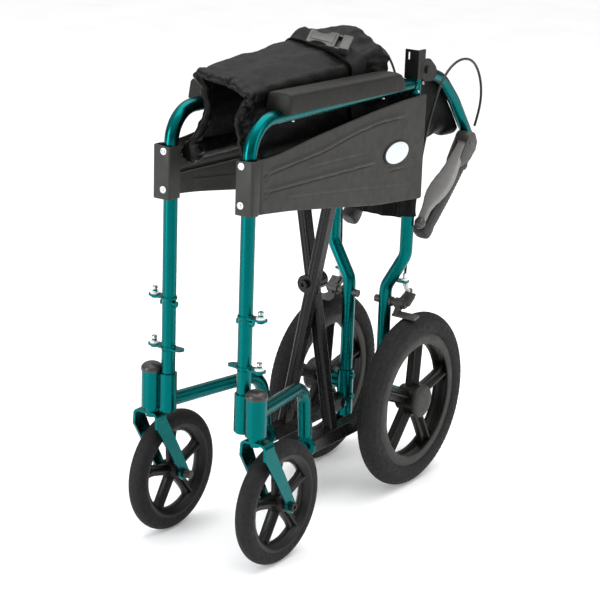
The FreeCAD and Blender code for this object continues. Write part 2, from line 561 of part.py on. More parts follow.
def castor_tyre():
    """Solid castor tyre with a rounded tread."""
    profile = [(-13.0, 78.0), (13.0, 78.0), (CASTOR_HALF_W, 84.0), (CASTOR_HALF_W, 90.0), (12.0, 95.5),
               (8.0, 98.8), (3.0, CASTOR_R), (-3.0, CASTOR_R), (-8.0, 98.8), (-12.0, 95.5),
               (-CASTOR_HALF_W, 90.0), (-CASTOR_HALF_W, 84.0)]
    return revolve_x(profile, CASTOR_X, CASTOR_Y, CASTOR_R)


def rear_rim():
    """Five-spoke moulded wheel centre: tapered hub, outboard cap, and a ring channelled round its inside."""
    middle = WHEEL_X
    hub = revolve_x([(-19.8, 0.0), (-19.8, 20.0), (-11.0, 24.0), (2.0, 26.2), (17.0, 28.3), (19.0, 29.2),
                     (22.5, 29.1), (25.0, 27.6), (26.8, 23.0), (27.0, 0.0)], middle, WHEEL_Y, WHEEL_R)
    ring = revolve_x([(-15.0, 117.0), (-15.4, 101.0), (-12.0, 99.4), (-4.5, 104.4), (4.5, 104.4), (12.0, 99.4),
                      (15.4, 101.0), (15.0, 117.0)], middle, WHEEL_Y, WHEEL_R)
    spokes = spoke_set(middle, WHEEL_Y, WHEEL_R, 5.0, 22.0, 103.0, 11.0, 13.0)
    bore = cyl(REAR_AXLE_R + RUN_CLEARANCE, 43.0, (BOSS_END_X - 3.0, WHEEL_Y, WHEEL_R), (1, 0, 0))
    pocket = cyl(10.5, 7.0, (AXLE_NUT_X - 0.8, WHEEL_Y, WHEEL_R), (1, 0, 0))
    return fuse(hub, ring, *spokes).cut(bore).cut(pocket)


def rear_tyre():
    """Grey-black foam tyre with a rounded tread."""
    w = WHEEL_HALF_W
    profile = [(-15.5, 117.0), (15.5, 117.0), (w, 124.0), (w, 135.0), (16.0, 144.0), (11.0, 149.8), (4.5, WHEEL_R),
               (-4.5, WHEEL_R), (-11.0, 149.8), (-16.0, 144.0), (-w, 135.0), (-w, 124.0)]
    return revolve_x(profile, WHEEL_X, WHEEL_Y, WHEEL_R)


# Cross brace ------------------------------------------------------------------------------------

GROOVE_X = 3.2               # of the two grooves along a brace's broad faces, from its middle


def cross_brace(foot_side, middle_y, pivot_hole_r):
    """One arm of the cross brace: the lower rail it stands on, the slanted arm, and its pivot boss."""
    foot = Vector(foot_side * RAIL_X, middle_y, RAIL_Z)
    head = Vector(-foot_side * SEAT_X, middle_y, SEAT_Z - TUBE_R + 1.0)
    lean = head - foot
    arm = Part.makeBox(BRACE_W, BRACE_D, lean.Length, Vector(-BRACE_W / 2.0, -BRACE_D / 2.0, 0))
    long_edges = [e for e in arm.Edges if abs(abs(e.tangentAt(e.FirstParameter).z) - 1.0) < 1e-6]
    arm = arm.makeFillet(4.0, long_edges)
    for x in (-GROOVE_X, GROOVE_X):
        for y in (-BRACE_D / 2.0, BRACE_D / 2.0):
            arm = arm.cut(box((x - 0.9, y - 0.8, 20.0), (x + 0.9, y + 0.8, lean.Length - 20.0)))
    tilt = FreeCAD.Rotation(Vector(0, 1, 0), math.degrees(math.atan2(lean.x, lean.z)))
    arm.Placement = FreeCAD.Placement(foot, tilt)
    rail = soft_box((foot.x - RAIL_HALF, RAIL_FRONT_Y, RAIL_Z - RAIL_HALF),
                    (foot.x + RAIL_HALF, RAIL_BACK_Y, RAIL_Z + RAIL_HALF), 2.5, 1)
    plate_low = middle_y - BRACE_D / 2.0
    boss = cyl(15.0, BRACE_D, (0, plate_low, CROSS_Z), (0, 1, 0))
    whole = fuse(arm, rail, boss)
    whole = whole.cut(cyl(TUBE_R, BRACE_D + 2.0, (-foot_side * SEAT_X, plate_low - 1.0, SEAT_Z), (0, 1, 0)))
    whole = whole.cut(cyl(pivot_hole_r, BRACE_D + 2.0, (0, plate_low - 1.0, CROSS_Z), (0, 1, 0)))
    for y, length in ((RAIL_FRONT_Y - 1.0, 18.0), (RAIL_BACK_Y - 17.0, 18.0)):
        whole = whole.cut(cyl(PIN_R + RUN_CLEARANCE, length, (foot.x, y, RAIL_Z), (0, 1, 0)))
    return whole


def seat_rail(side):
    """Round rail along the head of a brace, cradled by it."""
    centre = (side * SEAT_X, SEAT_FRONT_Y, SEAT_Z)
    length = SEAT_BACK_Y - SEAT_FRONT_Y
    return cyl(TUBE_R, length, centre, (0, 1, 0)).cut(cyl(TUBE_R - TUBE_WALL, length, centre, (0, 1, 0)))


BRACE_GAP = 1.5
FRONT_BRACE_Y = CROSS_Y - BRACE_D / 2.0 - BRACE_GAP
REAR_BRACE_Y = CROSS_Y + BRACE_D / 2.0 + BRACE_GAP
CROSS_BOLT_R = 5.0


def pivot_bolt():
    """The bolt through both braces, with a wide head in front and a nut behind."""
    front = FRONT_BRACE_Y - BRACE_D / 2.0 - 0.4
    back = REAR_BRACE_Y + BRACE_D / 2.0
    shank = cyl(CROSS_BOLT_R, back - front + 12.0, (0, front, CROSS_Z), (0, 1, 0))
    head = cyl(PIN_HEAD_R, 6.0, (0, front - 6.0, CROSS_Z), (0, 1, 0))
    socket = cyl(3.6, 3.5, (0, front - 6.5, CROSS_Z), (0, 1, 0))
    nut = cyl(8.5, 6.0, (0, back, CROSS_Z), (0, 1, 0))
    return fuse(shank, head, nut).cut(socket)


# Seat sling --------------------------------------------------------------------------------------

FLAP_FOOT_Z = SEAT_Z + 20.0
FLAP_KNEE_Z = 700.0
SLING_FRONT_Y = -283.0
SLING_BACK_Y = 88.0
BELT_Y = -22.8
BELT_HALF_W = 19.0
BELT_T = 2.0
BUCKLE_HALF_LENGTH = 52.0
BUCKLE_HALF_W = 22.0
BUCKLE_T = 12.0
SLING_GAP = 0.6              # between the halves of the sling's top, and over the upright sides


def seat_flap():
    """One upright side of the folded seat sling, from above the rail to the upper corner."""
    outline = [(SEAT_X + 1.0, FLAP_FOOT_Z), (SEAT_CORNER_X, FLAP_KNEE_Z), (SEAT_CORNER_X, SEAT_CORNER_Z),
               (SEAT_CORNER_X - SLING_T, SEAT_CORNER_Z), (SEAT_CORNER_X - SLING_T, FLAP_KNEE_Z),
               (SEAT_X + 1.0 - SLING_T, FLAP_FOOT_Z)]
    return plate(outline, "y", SLING_FRONT_Y, SLING_BACK_Y - SLING_FRONT_Y)


def seat_middle():
    """One half of the top of the folded sling, from the upper corner to the middle plane."""
    low = SEAT_CORNER_Z + SLING_GAP
    return box((SLING_GAP, SLING_FRONT_Y, low), (SEAT_CORNER_X, SLING_BACK_Y, low + SLING_T))


def lap_belt():
    """Webbing lying across the top of the folded sling."""
    low = SEAT_CORNER_Z + SLING_GAP + SLING_T + 0.5
    return box((-SEAT_CORNER_X, BELT_Y - BELT_HALF_W, low), (SEAT_CORNER_X, BELT_Y + BELT_HALF_W, low + BELT_T))


def belt_buckle():
    """Closed side-release buckle lying on the webbing."""
    low = SEAT_CORNER_Z + SLING_T + 3.5
    return soft_box((-BUCKLE_HALF_LENGTH, BELT_Y - BUCKLE_HALF_W, low),
                    (BUCKLE_HALF_LENGTH, BELT_Y + BUCKLE_HALF_W, low + BUCKLE_T), 3.5)


# Folding back -------------------------------------------------------------------------------------

HANDLE_CORNER = (331.0, 575.0)
HANDLE_END = (181.0, 435.0)
HANDLE_RUN = math.hypot(HANDLE_END[0] - HANDLE_CORNER[0], HANDLE_END[1] - HANDLE_CORNER[1])
ALONG = ((HANDLE_END[0] - HANDLE_CORNER[0]) / HANDLE_RUN, (HANDLE_END[1] - HANDLE_CORNER[1]) / HANDLE_RUN)
ACROSS = (ALONG[1], -ALONG[0])
GRIP_START = 46.0
GRIP_R = 15.0
LEVER_X = POST_X + 18.5
LEVER_PIVOT = 25.0           # distance of the lever's pivot along the handle
LEVER_RISE = 31.0            # and its distance beside the handle's axis
LEVER_PIN_R = 3.0
BALL_R = 9.0
BALL_RUN = 210.0             # the lever's round end, along and beside the handle
BALL_RISE = 45.6


def handle_point(x, run, rise):
    """A point beside the push handle: run along it from its corner, rise toward the lever's side."""
    return (x, HANDLE_CORNER[0] + ALONG[0] * run + ACROSS[0] * rise,
            HANDLE_CORNER[1] + ALONG[1] * run + ACROSS[1] * rise)


def handle_vector():
    return (0.0, ALONG[0], ALONG[1])


BACK_ROUTE = [(POST_X, HINGE_Y, HINGE_Z), (POST_X, 222.0, 698.0), (POST_X, 268.0, 655.0),
              (POST_X, HANDLE_CORNER[0], HANDLE_CORNER[1]), handle_point(POST_X, HANDLE_RUN - 6.0, 0.0)]
BACK_RADII = [70.0, 120.0, 17.0]


def back_tube():
    """Upper back tube, folded down behind the seat, with the push handle bent back along it."""
    bar = tube(BACK_ROUTE, BACK_RADII, BACK_TUBE_R)
    eye = cyl(BACK_TUBE_R, 2.0 * BACK_TUBE_R, (POST_X - BACK_TUBE_R, HINGE_Y, HINGE_Z), (1, 0, 0))
    return fuse(bar, eye).cut(cyl(PIN_R + RUN_CLEARANCE, 40.0, (POST_X - 20.0, HINGE_Y, HINGE_Z), (1, 0, 0)))


def push_grip():
    """Moulded grip on the push handle, thicker toward its closed end."""
    start = Vector(*handle_point(POST_X, GRIP_START, 0.0))
    along = Vector(*handle_vector())
    length = HANDLE_RUN - GRIP_START
    body = Part.makeCylinder(GRIP_R, length, start, along)
    collar = Part.makeCylinder(GRIP_R + 2.5, 7.0, start, along)
    return fuse(body, collar).cut(Part.makeCylinder(BACK_TUBE_R, length - 6.0, start, along))


def lever_slab(side_view, x_low, width):
    """A slab beside the handle, drawn in (run, rise) points, growing outboard from x_low."""
    corners = [Vector(*handle_point(x_low, run, rise)) for run, rise in side_view]
    return Part.Face(Part.makePolygon(corners + corners[:1])).extrude(Vector(width, 0, 0))


def lever_bracket():
    """Clamp on the handle's root with two rounded cheeks and a hood over the brake lever's pivot."""
    start = Vector(*handle_point(POST_X, 19.0, 0.0))
    along = Vector(*handle_vector())
    sleeve = Part.makeCylinder(BACK_TUBE_R + 5.0, 25.0, start, along)
    cheek = [(6.0, 20.0), (8.0, 34.0), (16.0, 42.0), (28.0, 44.0), (40.0, 36.0), (48.0, 26.0), (46.0, 20.4),
             (44.0, 16.0), (44.0, 4.0), (34.0, 2.0), (14.0, 6.0)]
    cheeks = [lever_slab(cheek, x, 3.4) for x in (LEVER_X - 13.8, LEVER_X + 10.4)]
    hood = lever_slab([(6.0, 20.0), (8.0, 34.0), (16.0, 42.0), (28.0, 44.0), (27.0, 41.2), (17.2, 39.4), (10.4, 32.6),
                       (8.8, 20.0)], LEVER_X - 13.8, 27.6)
    floor = lever_slab([(12.0, 6.5), (44.0, 6.5), (44.0, 15.8), (14.0, 15.8)], LEVER_X - 13.8, 27.6)
    pivot = cyl(LEVER_PIN_R, 29.0, handle_point(LEVER_X - 14.5, LEVER_PIVOT, LEVER_RISE), (1, 0, 0))
    whole = fuse(sleeve, *cheeks, hood, floor, pivot)
    return whole.cut(rod(BACK_ROUTE, BACK_RADII, BACK_TUBE_R))


LEVER_LEAF = [(14.0, 8.6), (36.0, 9.0), (56.0, 11.0), (76.0, 13.2), (94.0, 15.6), (112.0, 18.2), (128.0, 19.0),
              (144.0, 18.2), (158.0, 15.0), (170.0, 11.0), (182.0, 8.4), (204.0, 8.0)]
LEVER_BOW = [(14.0, 32.5), (36.0, 34.0), (56.0, 33.6), (76.0, 33.8), (94.0, 35.6), (112.0, 39.6), (128.0, 43.4),
             (144.0, 46.0), (158.0, 47.8), (170.0, 49.0), (182.0, 48.8), (204.0, 46.4)]
LEVER_T = 4.0


def brake_lever():
    """Wide leaf-shaped brake lever beside the grip, bowed away from it, with a thick round end."""
    outer = [(run, rise + LEVER_T / 2.0) for run, rise in LEVER_BOW]
    inner = [(run, rise - LEVER_T / 2.0) for run, rise in LEVER_BOW]
    bow = lever_slab(outer + inner[::-1], LEVER_X - 25.0, 50.0)
    edge = [Vector(*handle_point(LEVER_X + half, run, 20.0)) for run, half in LEVER_LEAF]
    edge += [Vector(*handle_point(LEVER_X - half, run, 20.0)) for run, half in reversed(LEVER_LEAF)]
    leaf = Part.Face(Part.makePolygon(edge + edge[:1])).extrude(Vector(0, ACROSS[0] * 40.0, ACROSS[1] * 40.0))
    ball = Part.makeSphere(BALL_R, Vector(*handle_point(LEVER_X, BALL_RUN, BALL_RISE)))
    eye = cyl(7.0, 17.2, handle_point(LEVER_X - 8.6, LEVER_PIVOT, LEVER_RISE), (1, 0, 0))
    bore = cyl(LEVER_PIN_R + RUN_CLEARANCE, 40.0, handle_point(LEVER_X - 20.0, LEVER_PIVOT, LEVER_RISE), (1, 0, 0))
    return fuse(bow.common(leaf), ball, eye).cut(bore)


CABLE_R = 2.2
CABLE_ROUTE = [(80.0, 333.0, 601.0), (83.0, 342.5, 630.0), (87.0, 338.0, 666.0), (90.0, 319.0, 700.0),
               (91.5, 290.0, 724.0), (92.0, 250.0, 730.0), (92.0, 213.0, 718.0), (92.0, 186.0, 692.0),
               (91.0, 170.0, 658.0), (86.0, 162.0, 620.0), (79.0, 158.0, 560.0), (73.0, 156.0, 480.0),
               (68.0, 153.0, 410.0), (CABLE_TAB_X, CABLE_TAB_Y, 376.0), (CABLE_TAB_X, CABLE_TAB_Y, 360.0)]


def gentle_radii(points):
    """The largest arc that each corner of a cable's route allows."""
    radii = []
    points = [Vector(*p) for p in points]
    for before, corner, after in zip(points, points[1:], points[2:]):
        run_in = corner - before
        run_out = after - corner
        turn = run_in.getAngle(run_out)
        radii.append(0.45 * min(run_in.Length, run_out.Length) / math.tan(turn / 2.0))
    return radii


def brake_cable():
    """Brake cable from the lever's clamp, over in a free loop, and down behind the guard's rear edge."""
    return rod(CABLE_ROUTE, gentle_radii(CABLE_ROUTE), CABLE_R)


PANEL_HALF_W = 57.0
PANEL_Y = REAR_Y + 13.5
PANEL_T = 5.0
PANEL_LOW_Z = 468.0
PANEL_TOP_Z = 700.0


def lower_back_panel():
    """Back upholstery between the upright posts, gathered as the chair is folded."""
    return box((-PANEL_HALF_W, PANEL_Y, PANEL_LOW_Z), (PANEL_HALF_W, PANEL_Y + PANEL_T, PANEL_TOP_Z))


def upper_back_panel():
    """Back upholstery of the folded-down part, hanging slack between the two back tubes."""
    outline = [(163.0, 704.0), (172.0, 640.0), (184.0, 584.0), (240.0, 590.0), (296.0, 588.0), (298.0, 594.0),
               (240.0, 597.0), (189.0, 592.0), (178.0, 642.0), (169.0, 704.0)]
    return plate(outline, "x", -PANEL_HALF_W, 2.0 * PANEL_HALF_W)


# Write every sub-part ------------------------------------------------------------------------------

SIDE_PARTS = {
    "front_tube": front_tube, "rear_post": rear_post, "lower_tube": lower_tube,
    "castor_housing": castor_housing, "housing_cap": housing_cap, "footrest_bracket": footrest_bracket,
    "frame_screws": frame_screws, "arm_pad": arm_pad, "skirt_guard": skirt_guard,
    "axle_bracket": axle_bracket, "hinge_bracket": hinge_bracket, "brake_mount": brake_mount,
    "brake_arm": brake_arm, "castor_fork": castor_fork, "castor_rim": castor_rim,
    "castor_tyre": castor_tyre, "rear_rim": rear_rim, "rear_tyre": rear_tyre,
    "back_tube": back_tube, "push_grip": push_grip, "lever_bracket": lever_bracket,
    "brake_lever": brake_lever, "brake_cable": brake_cable, "seat_flap": seat_flap,
    "seat_middle": seat_middle,
}

for part_name, make in SIDE_PARTS.items():
    left_shape = make()
    for side_name, side in SIDES.items():
        save(mirrored(left_shape, side), side_name + "_" + part_name)

# The front brace carries the left seat rail and stands on the right-hand rail; the rear brace is its twin.
save(cross_brace(-1.0, FRONT_BRACE_Y, CROSS_BOLT_R + RUN_CLEARANCE), "front_cross_brace")
save(cross_brace(1.0, REAR_BRACE_Y, CROSS_BOLT_R), "rear_cross_brace")
save(seat_rail(1.0), "left_seat_rail")
save(seat_rail(-1.0), "right_seat_rail")
save(pivot_bolt(), "cross_pivot_bolt")
save(lower_back_panel(), "lower_back_panel")
save(upper_back_panel(), "upper_back_panel")
save(lap_belt(), "lap_belt")
save(belt_buckle(), "belt_buckle")
print("brake cable corner radii:", [round(radius) for radius in gentle_radii(CABLE_ROUTE)])
lever_pivot_point = handle_point(LEVER_X, LEVER_PIVOT, LEVER_RISE)
print("lever pivot, from the middle:", round(lever_pivot_point[1] - MIDDLE_Y, 2), round(lever_pivot_point[2], 2))
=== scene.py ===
import json
import math
import bpy
import bmesh
from mathutils import Matrix, Vector, noise


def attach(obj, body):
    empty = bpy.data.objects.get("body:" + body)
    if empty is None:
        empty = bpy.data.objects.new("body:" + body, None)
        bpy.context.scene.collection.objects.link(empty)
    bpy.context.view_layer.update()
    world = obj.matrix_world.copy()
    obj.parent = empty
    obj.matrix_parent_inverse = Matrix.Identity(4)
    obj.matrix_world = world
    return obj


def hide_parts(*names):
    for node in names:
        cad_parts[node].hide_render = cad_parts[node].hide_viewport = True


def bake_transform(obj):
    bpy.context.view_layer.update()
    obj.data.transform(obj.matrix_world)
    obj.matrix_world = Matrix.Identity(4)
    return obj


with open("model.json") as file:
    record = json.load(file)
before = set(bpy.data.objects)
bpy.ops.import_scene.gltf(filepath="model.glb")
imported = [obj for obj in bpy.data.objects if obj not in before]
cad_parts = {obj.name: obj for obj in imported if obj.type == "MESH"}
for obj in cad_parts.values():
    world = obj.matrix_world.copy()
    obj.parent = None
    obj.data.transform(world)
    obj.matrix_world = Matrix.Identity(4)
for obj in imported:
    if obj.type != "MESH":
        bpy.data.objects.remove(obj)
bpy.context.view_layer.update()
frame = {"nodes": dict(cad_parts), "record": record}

# Folded transport wheelchair. Metres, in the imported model's frame: +X the user's left, +Y the rear, +Z up.
SIDES = {"left": 1.0, "right": -1.0}

# Places shared with the frame
POST_X = 0.073
FRONT_Y = -0.3072
REAR_Y = 0.1438
ARM_Z = 0.700
CASTOR = Vector((0.105, -0.2552, 0.100))
REAR_WHEEL = Vector((0.091, 0.1558, 0.1525))
SEAT_RAIL = Vector((0.054, -0.2812, 0.635))
HANDLE_CORNER = Vector((0.073, 0.3378, 0.575))
HANDLE_END = Vector((0.073, 0.1878, 0.435))


# Materials -----------------------------------------------------------------------------------------

def new_material(name):
    """A node material and its Principled shader."""
    material = bpy.data.materials.new(name)
    material.use_nodes = True
    return material, material.node_tree, material.node_tree.nodes["Principled BSDF"]


def object_coordinates(tree):
    return tree.nodes.new("ShaderNodeTexCoord").outputs["Object"]


def noise_node(tree, vector, scale, detail=3.0, rough=0.5):
    node = tree.nodes.new("ShaderNodeTexNoise")
    node.inputs["Scale"].default_value = scale
    node.inputs["Detail"].default_value = detail
    node.inputs["Roughness"].default_value = rough
    tree.links.new(vector, node.inputs["Vector"])
    return node.outputs["Fac"]


def ramp(tree, fac, stops):
    """A colour ramp with (position, colour) stops."""
    node = tree.nodes.new("ShaderNodeValToRGB")
    elements = node.color_ramp.elements
    elements[0].position, elements[0].color = stops[0][0], (*stops[0][1], 1.0)
    elements[1].position, elements[1].color = stops[-1][0], (*stops[-1][1], 1.0)
    for position, colour in stops[1:-1]:
        element = elements.new(position)
        element.color = (*colour, 1.0)
    tree.links.new(fac, node.inputs["Fac"])
    return node.outputs["Color"]


def spread(tree, fac, low, high):
    """Maps a 0 to 1 value to the range low to high."""
    node = tree.nodes.new("ShaderNodeMapRange")
    node.inputs["From Min"].default_value = 0.3
    node.inputs["From Max"].default_value = 0.7
    node.inputs["To Min"].default_value = low
    node.inputs["To Max"].default_value = high
    tree.links.new(fac, node.inputs["Value"])
    return node.outputs["Result"]


def bump(tree, height, strength, distance, under=None):
    node = tree.nodes.new("ShaderNodeBump")
    node.inputs["Strength"].default_value = strength
    node.inputs["Distance"].default_value = distance
    tree.links.new(height, node.inputs["Height"])
    if under is not None:
        tree.links.new(under, node.inputs["Normal"])
    return node.outputs["Normal"]


def shade(colour, factor):
    return tuple(min(1.0, c * factor) for c in colour)


def plain_surface(name, colour, rough, metallic=0.0, coat=0.0, vary=0.18, grain=900.0, grain_depth=0.00006,
                  grain_strength=0.4, patch=18.0, specular=0.5):
    """Paint, moulded plastic, rubber or metal: mottled colour, uneven gloss and a fine surface grain."""
    material, tree, shader = new_material(name)
    vector = object_coordinates(tree)
    patches = noise_node(tree, vector, patch, 4.0, 0.55)
    tone = ramp(tree, patches, [(0.3, shade(colour, 1.0 - vary)), (0.55, colour),
                                (0.75, shade(colour, 1.0 + vary))])
    tree.links.new(tone, shader.inputs["Base Color"])
    gloss = noise_node(tree, vector, patch * 7.0, 5.0, 0.6)
    tree.links.new(spread(tree, gloss, rough * 0.8, min(1.0, rough * 1.25)), shader.inputs["Roughness"])
    fine = noise_node(tree, vector, grain, 2.0, 0.5)
    tree.links.new(bump(tree, fine, grain_strength, grain_depth), shader.inputs["Normal"])
    shader.inputs["Metallic"].default_value = metallic
    shader.inputs["Coat Weight"].default_value = coat
    shader.inputs["Coat Roughness"].default_value = 0.12
    shader.inputs["Specular IOR Level"].default_value = specular
    return material


def cloth_surface(name, colour, rough, thread, weave_depth, crinkle=0.5, sheen=0.1, specular=0.5):
    """Woven cloth: two crossed sets of threads, soft crinkles and a little sheen."""
    material, tree, shader = new_material(name)
    vector = object_coordinates(tree)
    patches = noise_node(tree, vector, 26.0, 5.0, 0.6)
    tone = ramp(tree, patches, [(0.3, shade(colour, 0.7)), (0.52, colour), (0.75, shade(colour, 1.3))])
    tree.links.new(tone, shader.inputs["Base Color"])
    weave = None
    for axis in ("Y", "Z"):
        wave = tree.nodes.new("ShaderNodeTexWave")
        wave.bands_direction = axis
        wave.inputs["Scale"].default_value = 0.314 / thread
        wave.inputs["Distortion"].default_value = 0.6
        wave.inputs["Detail"].default_value = 1.0
        tree.links.new(vector, wave.inputs["Vector"])
        if weave is None:
            weave = wave.outputs["Fac"]
        else:
            join = tree.nodes.new("ShaderNodeMath")
            join.operation = "ADD"
            tree.links.new(weave, join.inputs[0])
            tree.links.new(wave.outputs["Fac"], join.inputs[1])
            weave = join.outputs["Value"]
    soft = bump(tree, noise_node(tree, vector, 55.0, 4.0, 0.6), crinkle, 0.0022)
    tree.links.new(bump(tree, weave, 0.35, weave_depth, soft), shader.inputs["Normal"])
    tree.links.new(spread(tree, noise_node(tree, vector, 70.0, 4.0, 0.6), rough * 0.85, rough * 1.15),
                   shader.inputs["Roughness"])
    shader.inputs["Specular IOR Level"].default_value = specular
    shader.inputs["Sheen Weight"].default_value = sheen
    shader.inputs["Sheen Roughness"].default_value = 0.4
    return material


TEAL = plain_surface("teal_paint", (0.0, 0.112, 0.111), 0.27, metallic=0.985, coat=0.02, vary=0.06,
                     grain=2600.0, grain_strength=0.5, patch=6.0)
BLACK_PAINT = plain_surface("black_paint", (0.0060, 0.0059, 0.0055), 0.27, coat=0.05, vary=0.25, patch=12.0,
                            specular=0.22)
GUARD = plain_surface("guard_plastic", (0.0275, 0.0269, 0.0234), 0.46, vary=0.08, grain=1500.0,
                      grain_strength=0.35, patch=9.0, specular=0.24)
PAD = plain_surface("pad_plastic", (0.0200, 0.0194, 0.0169), 0.44, vary=0.10, grain=1300.0,
                    grain_strength=0.4, patch=12.0, specular=0.13)
BLACK_PLASTIC = plain_surface("black_plastic", (0.010, 0.0098, 0.0090), 0.36, vary=0.22, grain=1200.0,
                              specular=0.25)
CAP_PLASTIC = plain_surface("cap_plastic", (0.026, 0.023, 0.021), 0.34, vary=0.2, grain=1200.0)
WHEEL_PLASTIC = plain_surface("wheel_plastic", (0.0075, 0.0073, 0.0065), 0.34, vary=0.25, grain=1000.0,
                              specular=0.22)
RIM_FACE = plain_surface("rim_face", (0.0205, 0.0200, 0.0176), 0.46, vary=0.15, grain=1400.0, specular=0.26)
TYRE = plain_surface("tyre", (0.0115, 0.0115, 0.0116), 0.72, vary=0.18, grain=700.0, grain_depth=0.00015,
                     patch=22.0, specular=0.22)
GRIP = plain_surface("grip_rubber", (0.018, 0.0175, 0.0165), 0.50, vary=0.2, grain=900.0, grain_depth=0.00012)
LEVER = plain_surface("lever_plastic", (0.215, 0.211, 0.201), 0.40, vary=0.12, grain=1100.0)
HOOD = plain_surface("hood_plastic", (0.040, 0.039, 0.036), 0.40, vary=0.14, grain=1100.0)
SHEATH = plain_surface("cable_sheath", (0.010, 0.0098, 0.0092), 0.32, vary=0.15, specular=0.35)
BUCKLE = plain_surface("buckle_plastic", (0.036, 0.035, 0.032), 0.34, vary=0.12)
ZINC = plain_surface("zinc_steel", (0.62, 0.62, 0.60), 0.28, metallic=1.0, vary=0.12, grain=1800.0)
WASHER = plain_surface("washer_nylon", (0.78, 0.79, 0.79), 0.42, vary=0.06)
GREY_METAL = plain_surface("grey_metal", (0.050, 0.048, 0.043), 0.40, metallic=0.2, vary=0.2)
BADGE = plain_surface("badge", (0.70, 0.74, 0.77), 0.30, vary=0.05, coat=0.4)
NYLON = cloth_surface("nylon", (0.0045, 0.0043, 0.0041), 0.38, 0.0009, 0.00006, sheen=0.006, specular=0.13)
NYLON_DARK = cloth_surface("nylon_back", (0.0030, 0.0030, 0.0030), 0.50, 0.0009, 0.00006, sheen=0.004,
                           specular=0.10)
WEBBING = cloth_surface("webbing", (0.0050, 0.0050, 0.0050), 0.60, 0.0022, 0.0003, crinkle=0.15, sheen=0.01,
                        specular=0.15)

SLOT_OF = {"teal_paint": TEAL, "black_paint": BLACK_PAINT, "guard_plastic": GUARD, "pad_plastic": PAD,
           "black_plastic": BLACK_PLASTIC, "wheel_plastic": WHEEL_PLASTIC, "tyre": TYRE, "grip_rubber": GRIP,
           "lever_plastic": LEVER, "cable_sheath": SHEATH, "nylon": NYLON, "webbing": WEBBING,
           "buckle_plastic": BUCKLE, "zinc_steel": ZINC, "grey_metal": GREY_METAL, "badge": BADGE}


# Mesh helpers --------------------------------------------------------------------------------------

def add_mesh(name, points, faces, material, smooth_angle=40.0):
    """A new mesh object with smooth shading, except across edges sharper than smooth_angle degrees."""
    mesh = bpy.data.meshes.new(name)
    mesh.from_pydata([tuple(p) for p in points], [], faces)
    mesh.validate()
    work = bmesh.new()
    work.from_mesh(mesh)
    bmesh.ops.remove_doubles(work, verts=work.verts, dist=1e-6)
    bmesh.ops.recalc_face_normals(work, faces=work.faces)
    work.to_mesh(mesh)
    work.free()
    piece = bpy.data.objects.new(name, mesh)
    bpy.context.scene.collection.objects.link(piece)
    mesh.materials.append(material)
    set_smooth(piece, smooth_angle)
    return piece


def set_smooth(piece, angle):
    mesh = piece.data
    mesh.polygons.foreach_set("use_smooth", [True] * len(mesh.polygons))
    work = bmesh.new()
    work.from_mesh(mesh)
    limit = math.radians(angle)
    for edge in work.edges:
        edge.smooth = len(edge.link_faces) == 2 and edge.calc_face_angle(0.0) < limit
    work.to_mesh(mesh)
    work.free()


def apply_modifiers(piece):
    """Bakes a piece's modifiers into its mesh."""
    graph = bpy.context.evaluated_depsgraph_get()
    mesh = bpy.data.meshes.new_from_object(piece.evaluated_get(graph))
    piece.modifiers.clear()
    piece.data = mesh


def bevelled(piece, width, segments=2, angle=35.0):
    """Rounds the sharp edges of a piece."""
    modifier = piece.modifiers.new("bevel", "BEVEL")
    modifier.width = width
    modifier.segments = segments
    modifier.limit_method = "ANGLE"
    modifier.angle_limit = math.radians(angle)
    apply_modifiers(piece)
    set_smooth(piece, 40.0)
    return piece


def rings_to_mesh(rings, close_ring=True, close_loop=False, caps=True):
    """Points and faces of a skin over rings that all have the same number of points."""
    count = len(rings[0])
    points = [p for ring in rings for p in ring]
    faces = []
    last = len(rings) if close_loop else len(rings) - 1
    for i in range(last):
        a = i * count
        b = ((i + 1) % len(rings)) * count
        for j in range(count if close_ring else count - 1):
            k = (j + 1) % count
            faces.append((a + j, a + k, b + k, b + j))
    if caps and not close_loop:
        faces.append(tuple(range(count))[::-1])
        faces.append(tuple(range(len(points) - count, len(points))))
    return points, faces


def around_x(centre, x, radius, angle):
    """A point about an X axis; the angle is 0 straight up and grows toward the rear."""
    return Vector((x, centre.y + radius * math.sin(angle), centre.z + radius * math.cos(angle)))


def lathe(name, centre, profile, material, steps=96, closed=True, smooth_angle=40.0):
    """Turns (x, radius) points about the X axis through a centre."""
    rings = []
    for i in range(steps):
        angle = 2.0 * math.pi * i / steps
        rings.append([around_x(centre, x, r, angle) for x, r in profile])
    points, faces = rings_to_mesh(rings, close_ring=closed, close_loop=True)
    return add_mesh(name, points, faces, material, smooth_angle)


def frames_along(points):
    """A tangent and two normals at each point of a path, turning as little as they can."""
    tangents = []
    for i in range(len(points)):
        ahead = points[min(i + 1, len(points) - 1)]
        behind = points[max(i - 1, 0)]
        tangents.append((ahead - behind).normalized())
    normal = tangents[0].orthogonal().normalized()
    out = []
    for tangent in tangents:
        normal = (normal - tangent * normal.dot(tangent)).normalized()
        out.append((tangent, normal, tangent.cross(normal)))
    return out


def sweep(name, points, section, material, caps=True, smooth_angle=50.0):
    """Carries a section along a path. section(i) gives (across, up) offsets for point i."""
    rings = []
    for i, (point, (_, normal, side)) in enumerate(zip(points, frames_along(points))):
        rings.append([point + normal * a + side * b for a, b in section(i)])
    mesh_points, faces = rings_to_mesh(rings, caps=caps)
    return add_mesh(name, mesh_points, faces, material, smooth_angle)


def turn_angles(count):
    """Evenly spaced angles of one full turn."""
    return [2.0 * math.pi * k / count for k in range(count)]


def circle(radius, count=20):
    return [(radius * math.cos(2 * math.pi * k / count), radius * math.sin(2 * math.pi * k / count))
            for k in range(count)]


def finish_piece(piece, body, slot, *nodes):
    """Rides a piece on a body and hides the nodes it stands for. Its slot is not used."""
    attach(piece, body)
    if nodes:
        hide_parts(*nodes)
    return piece


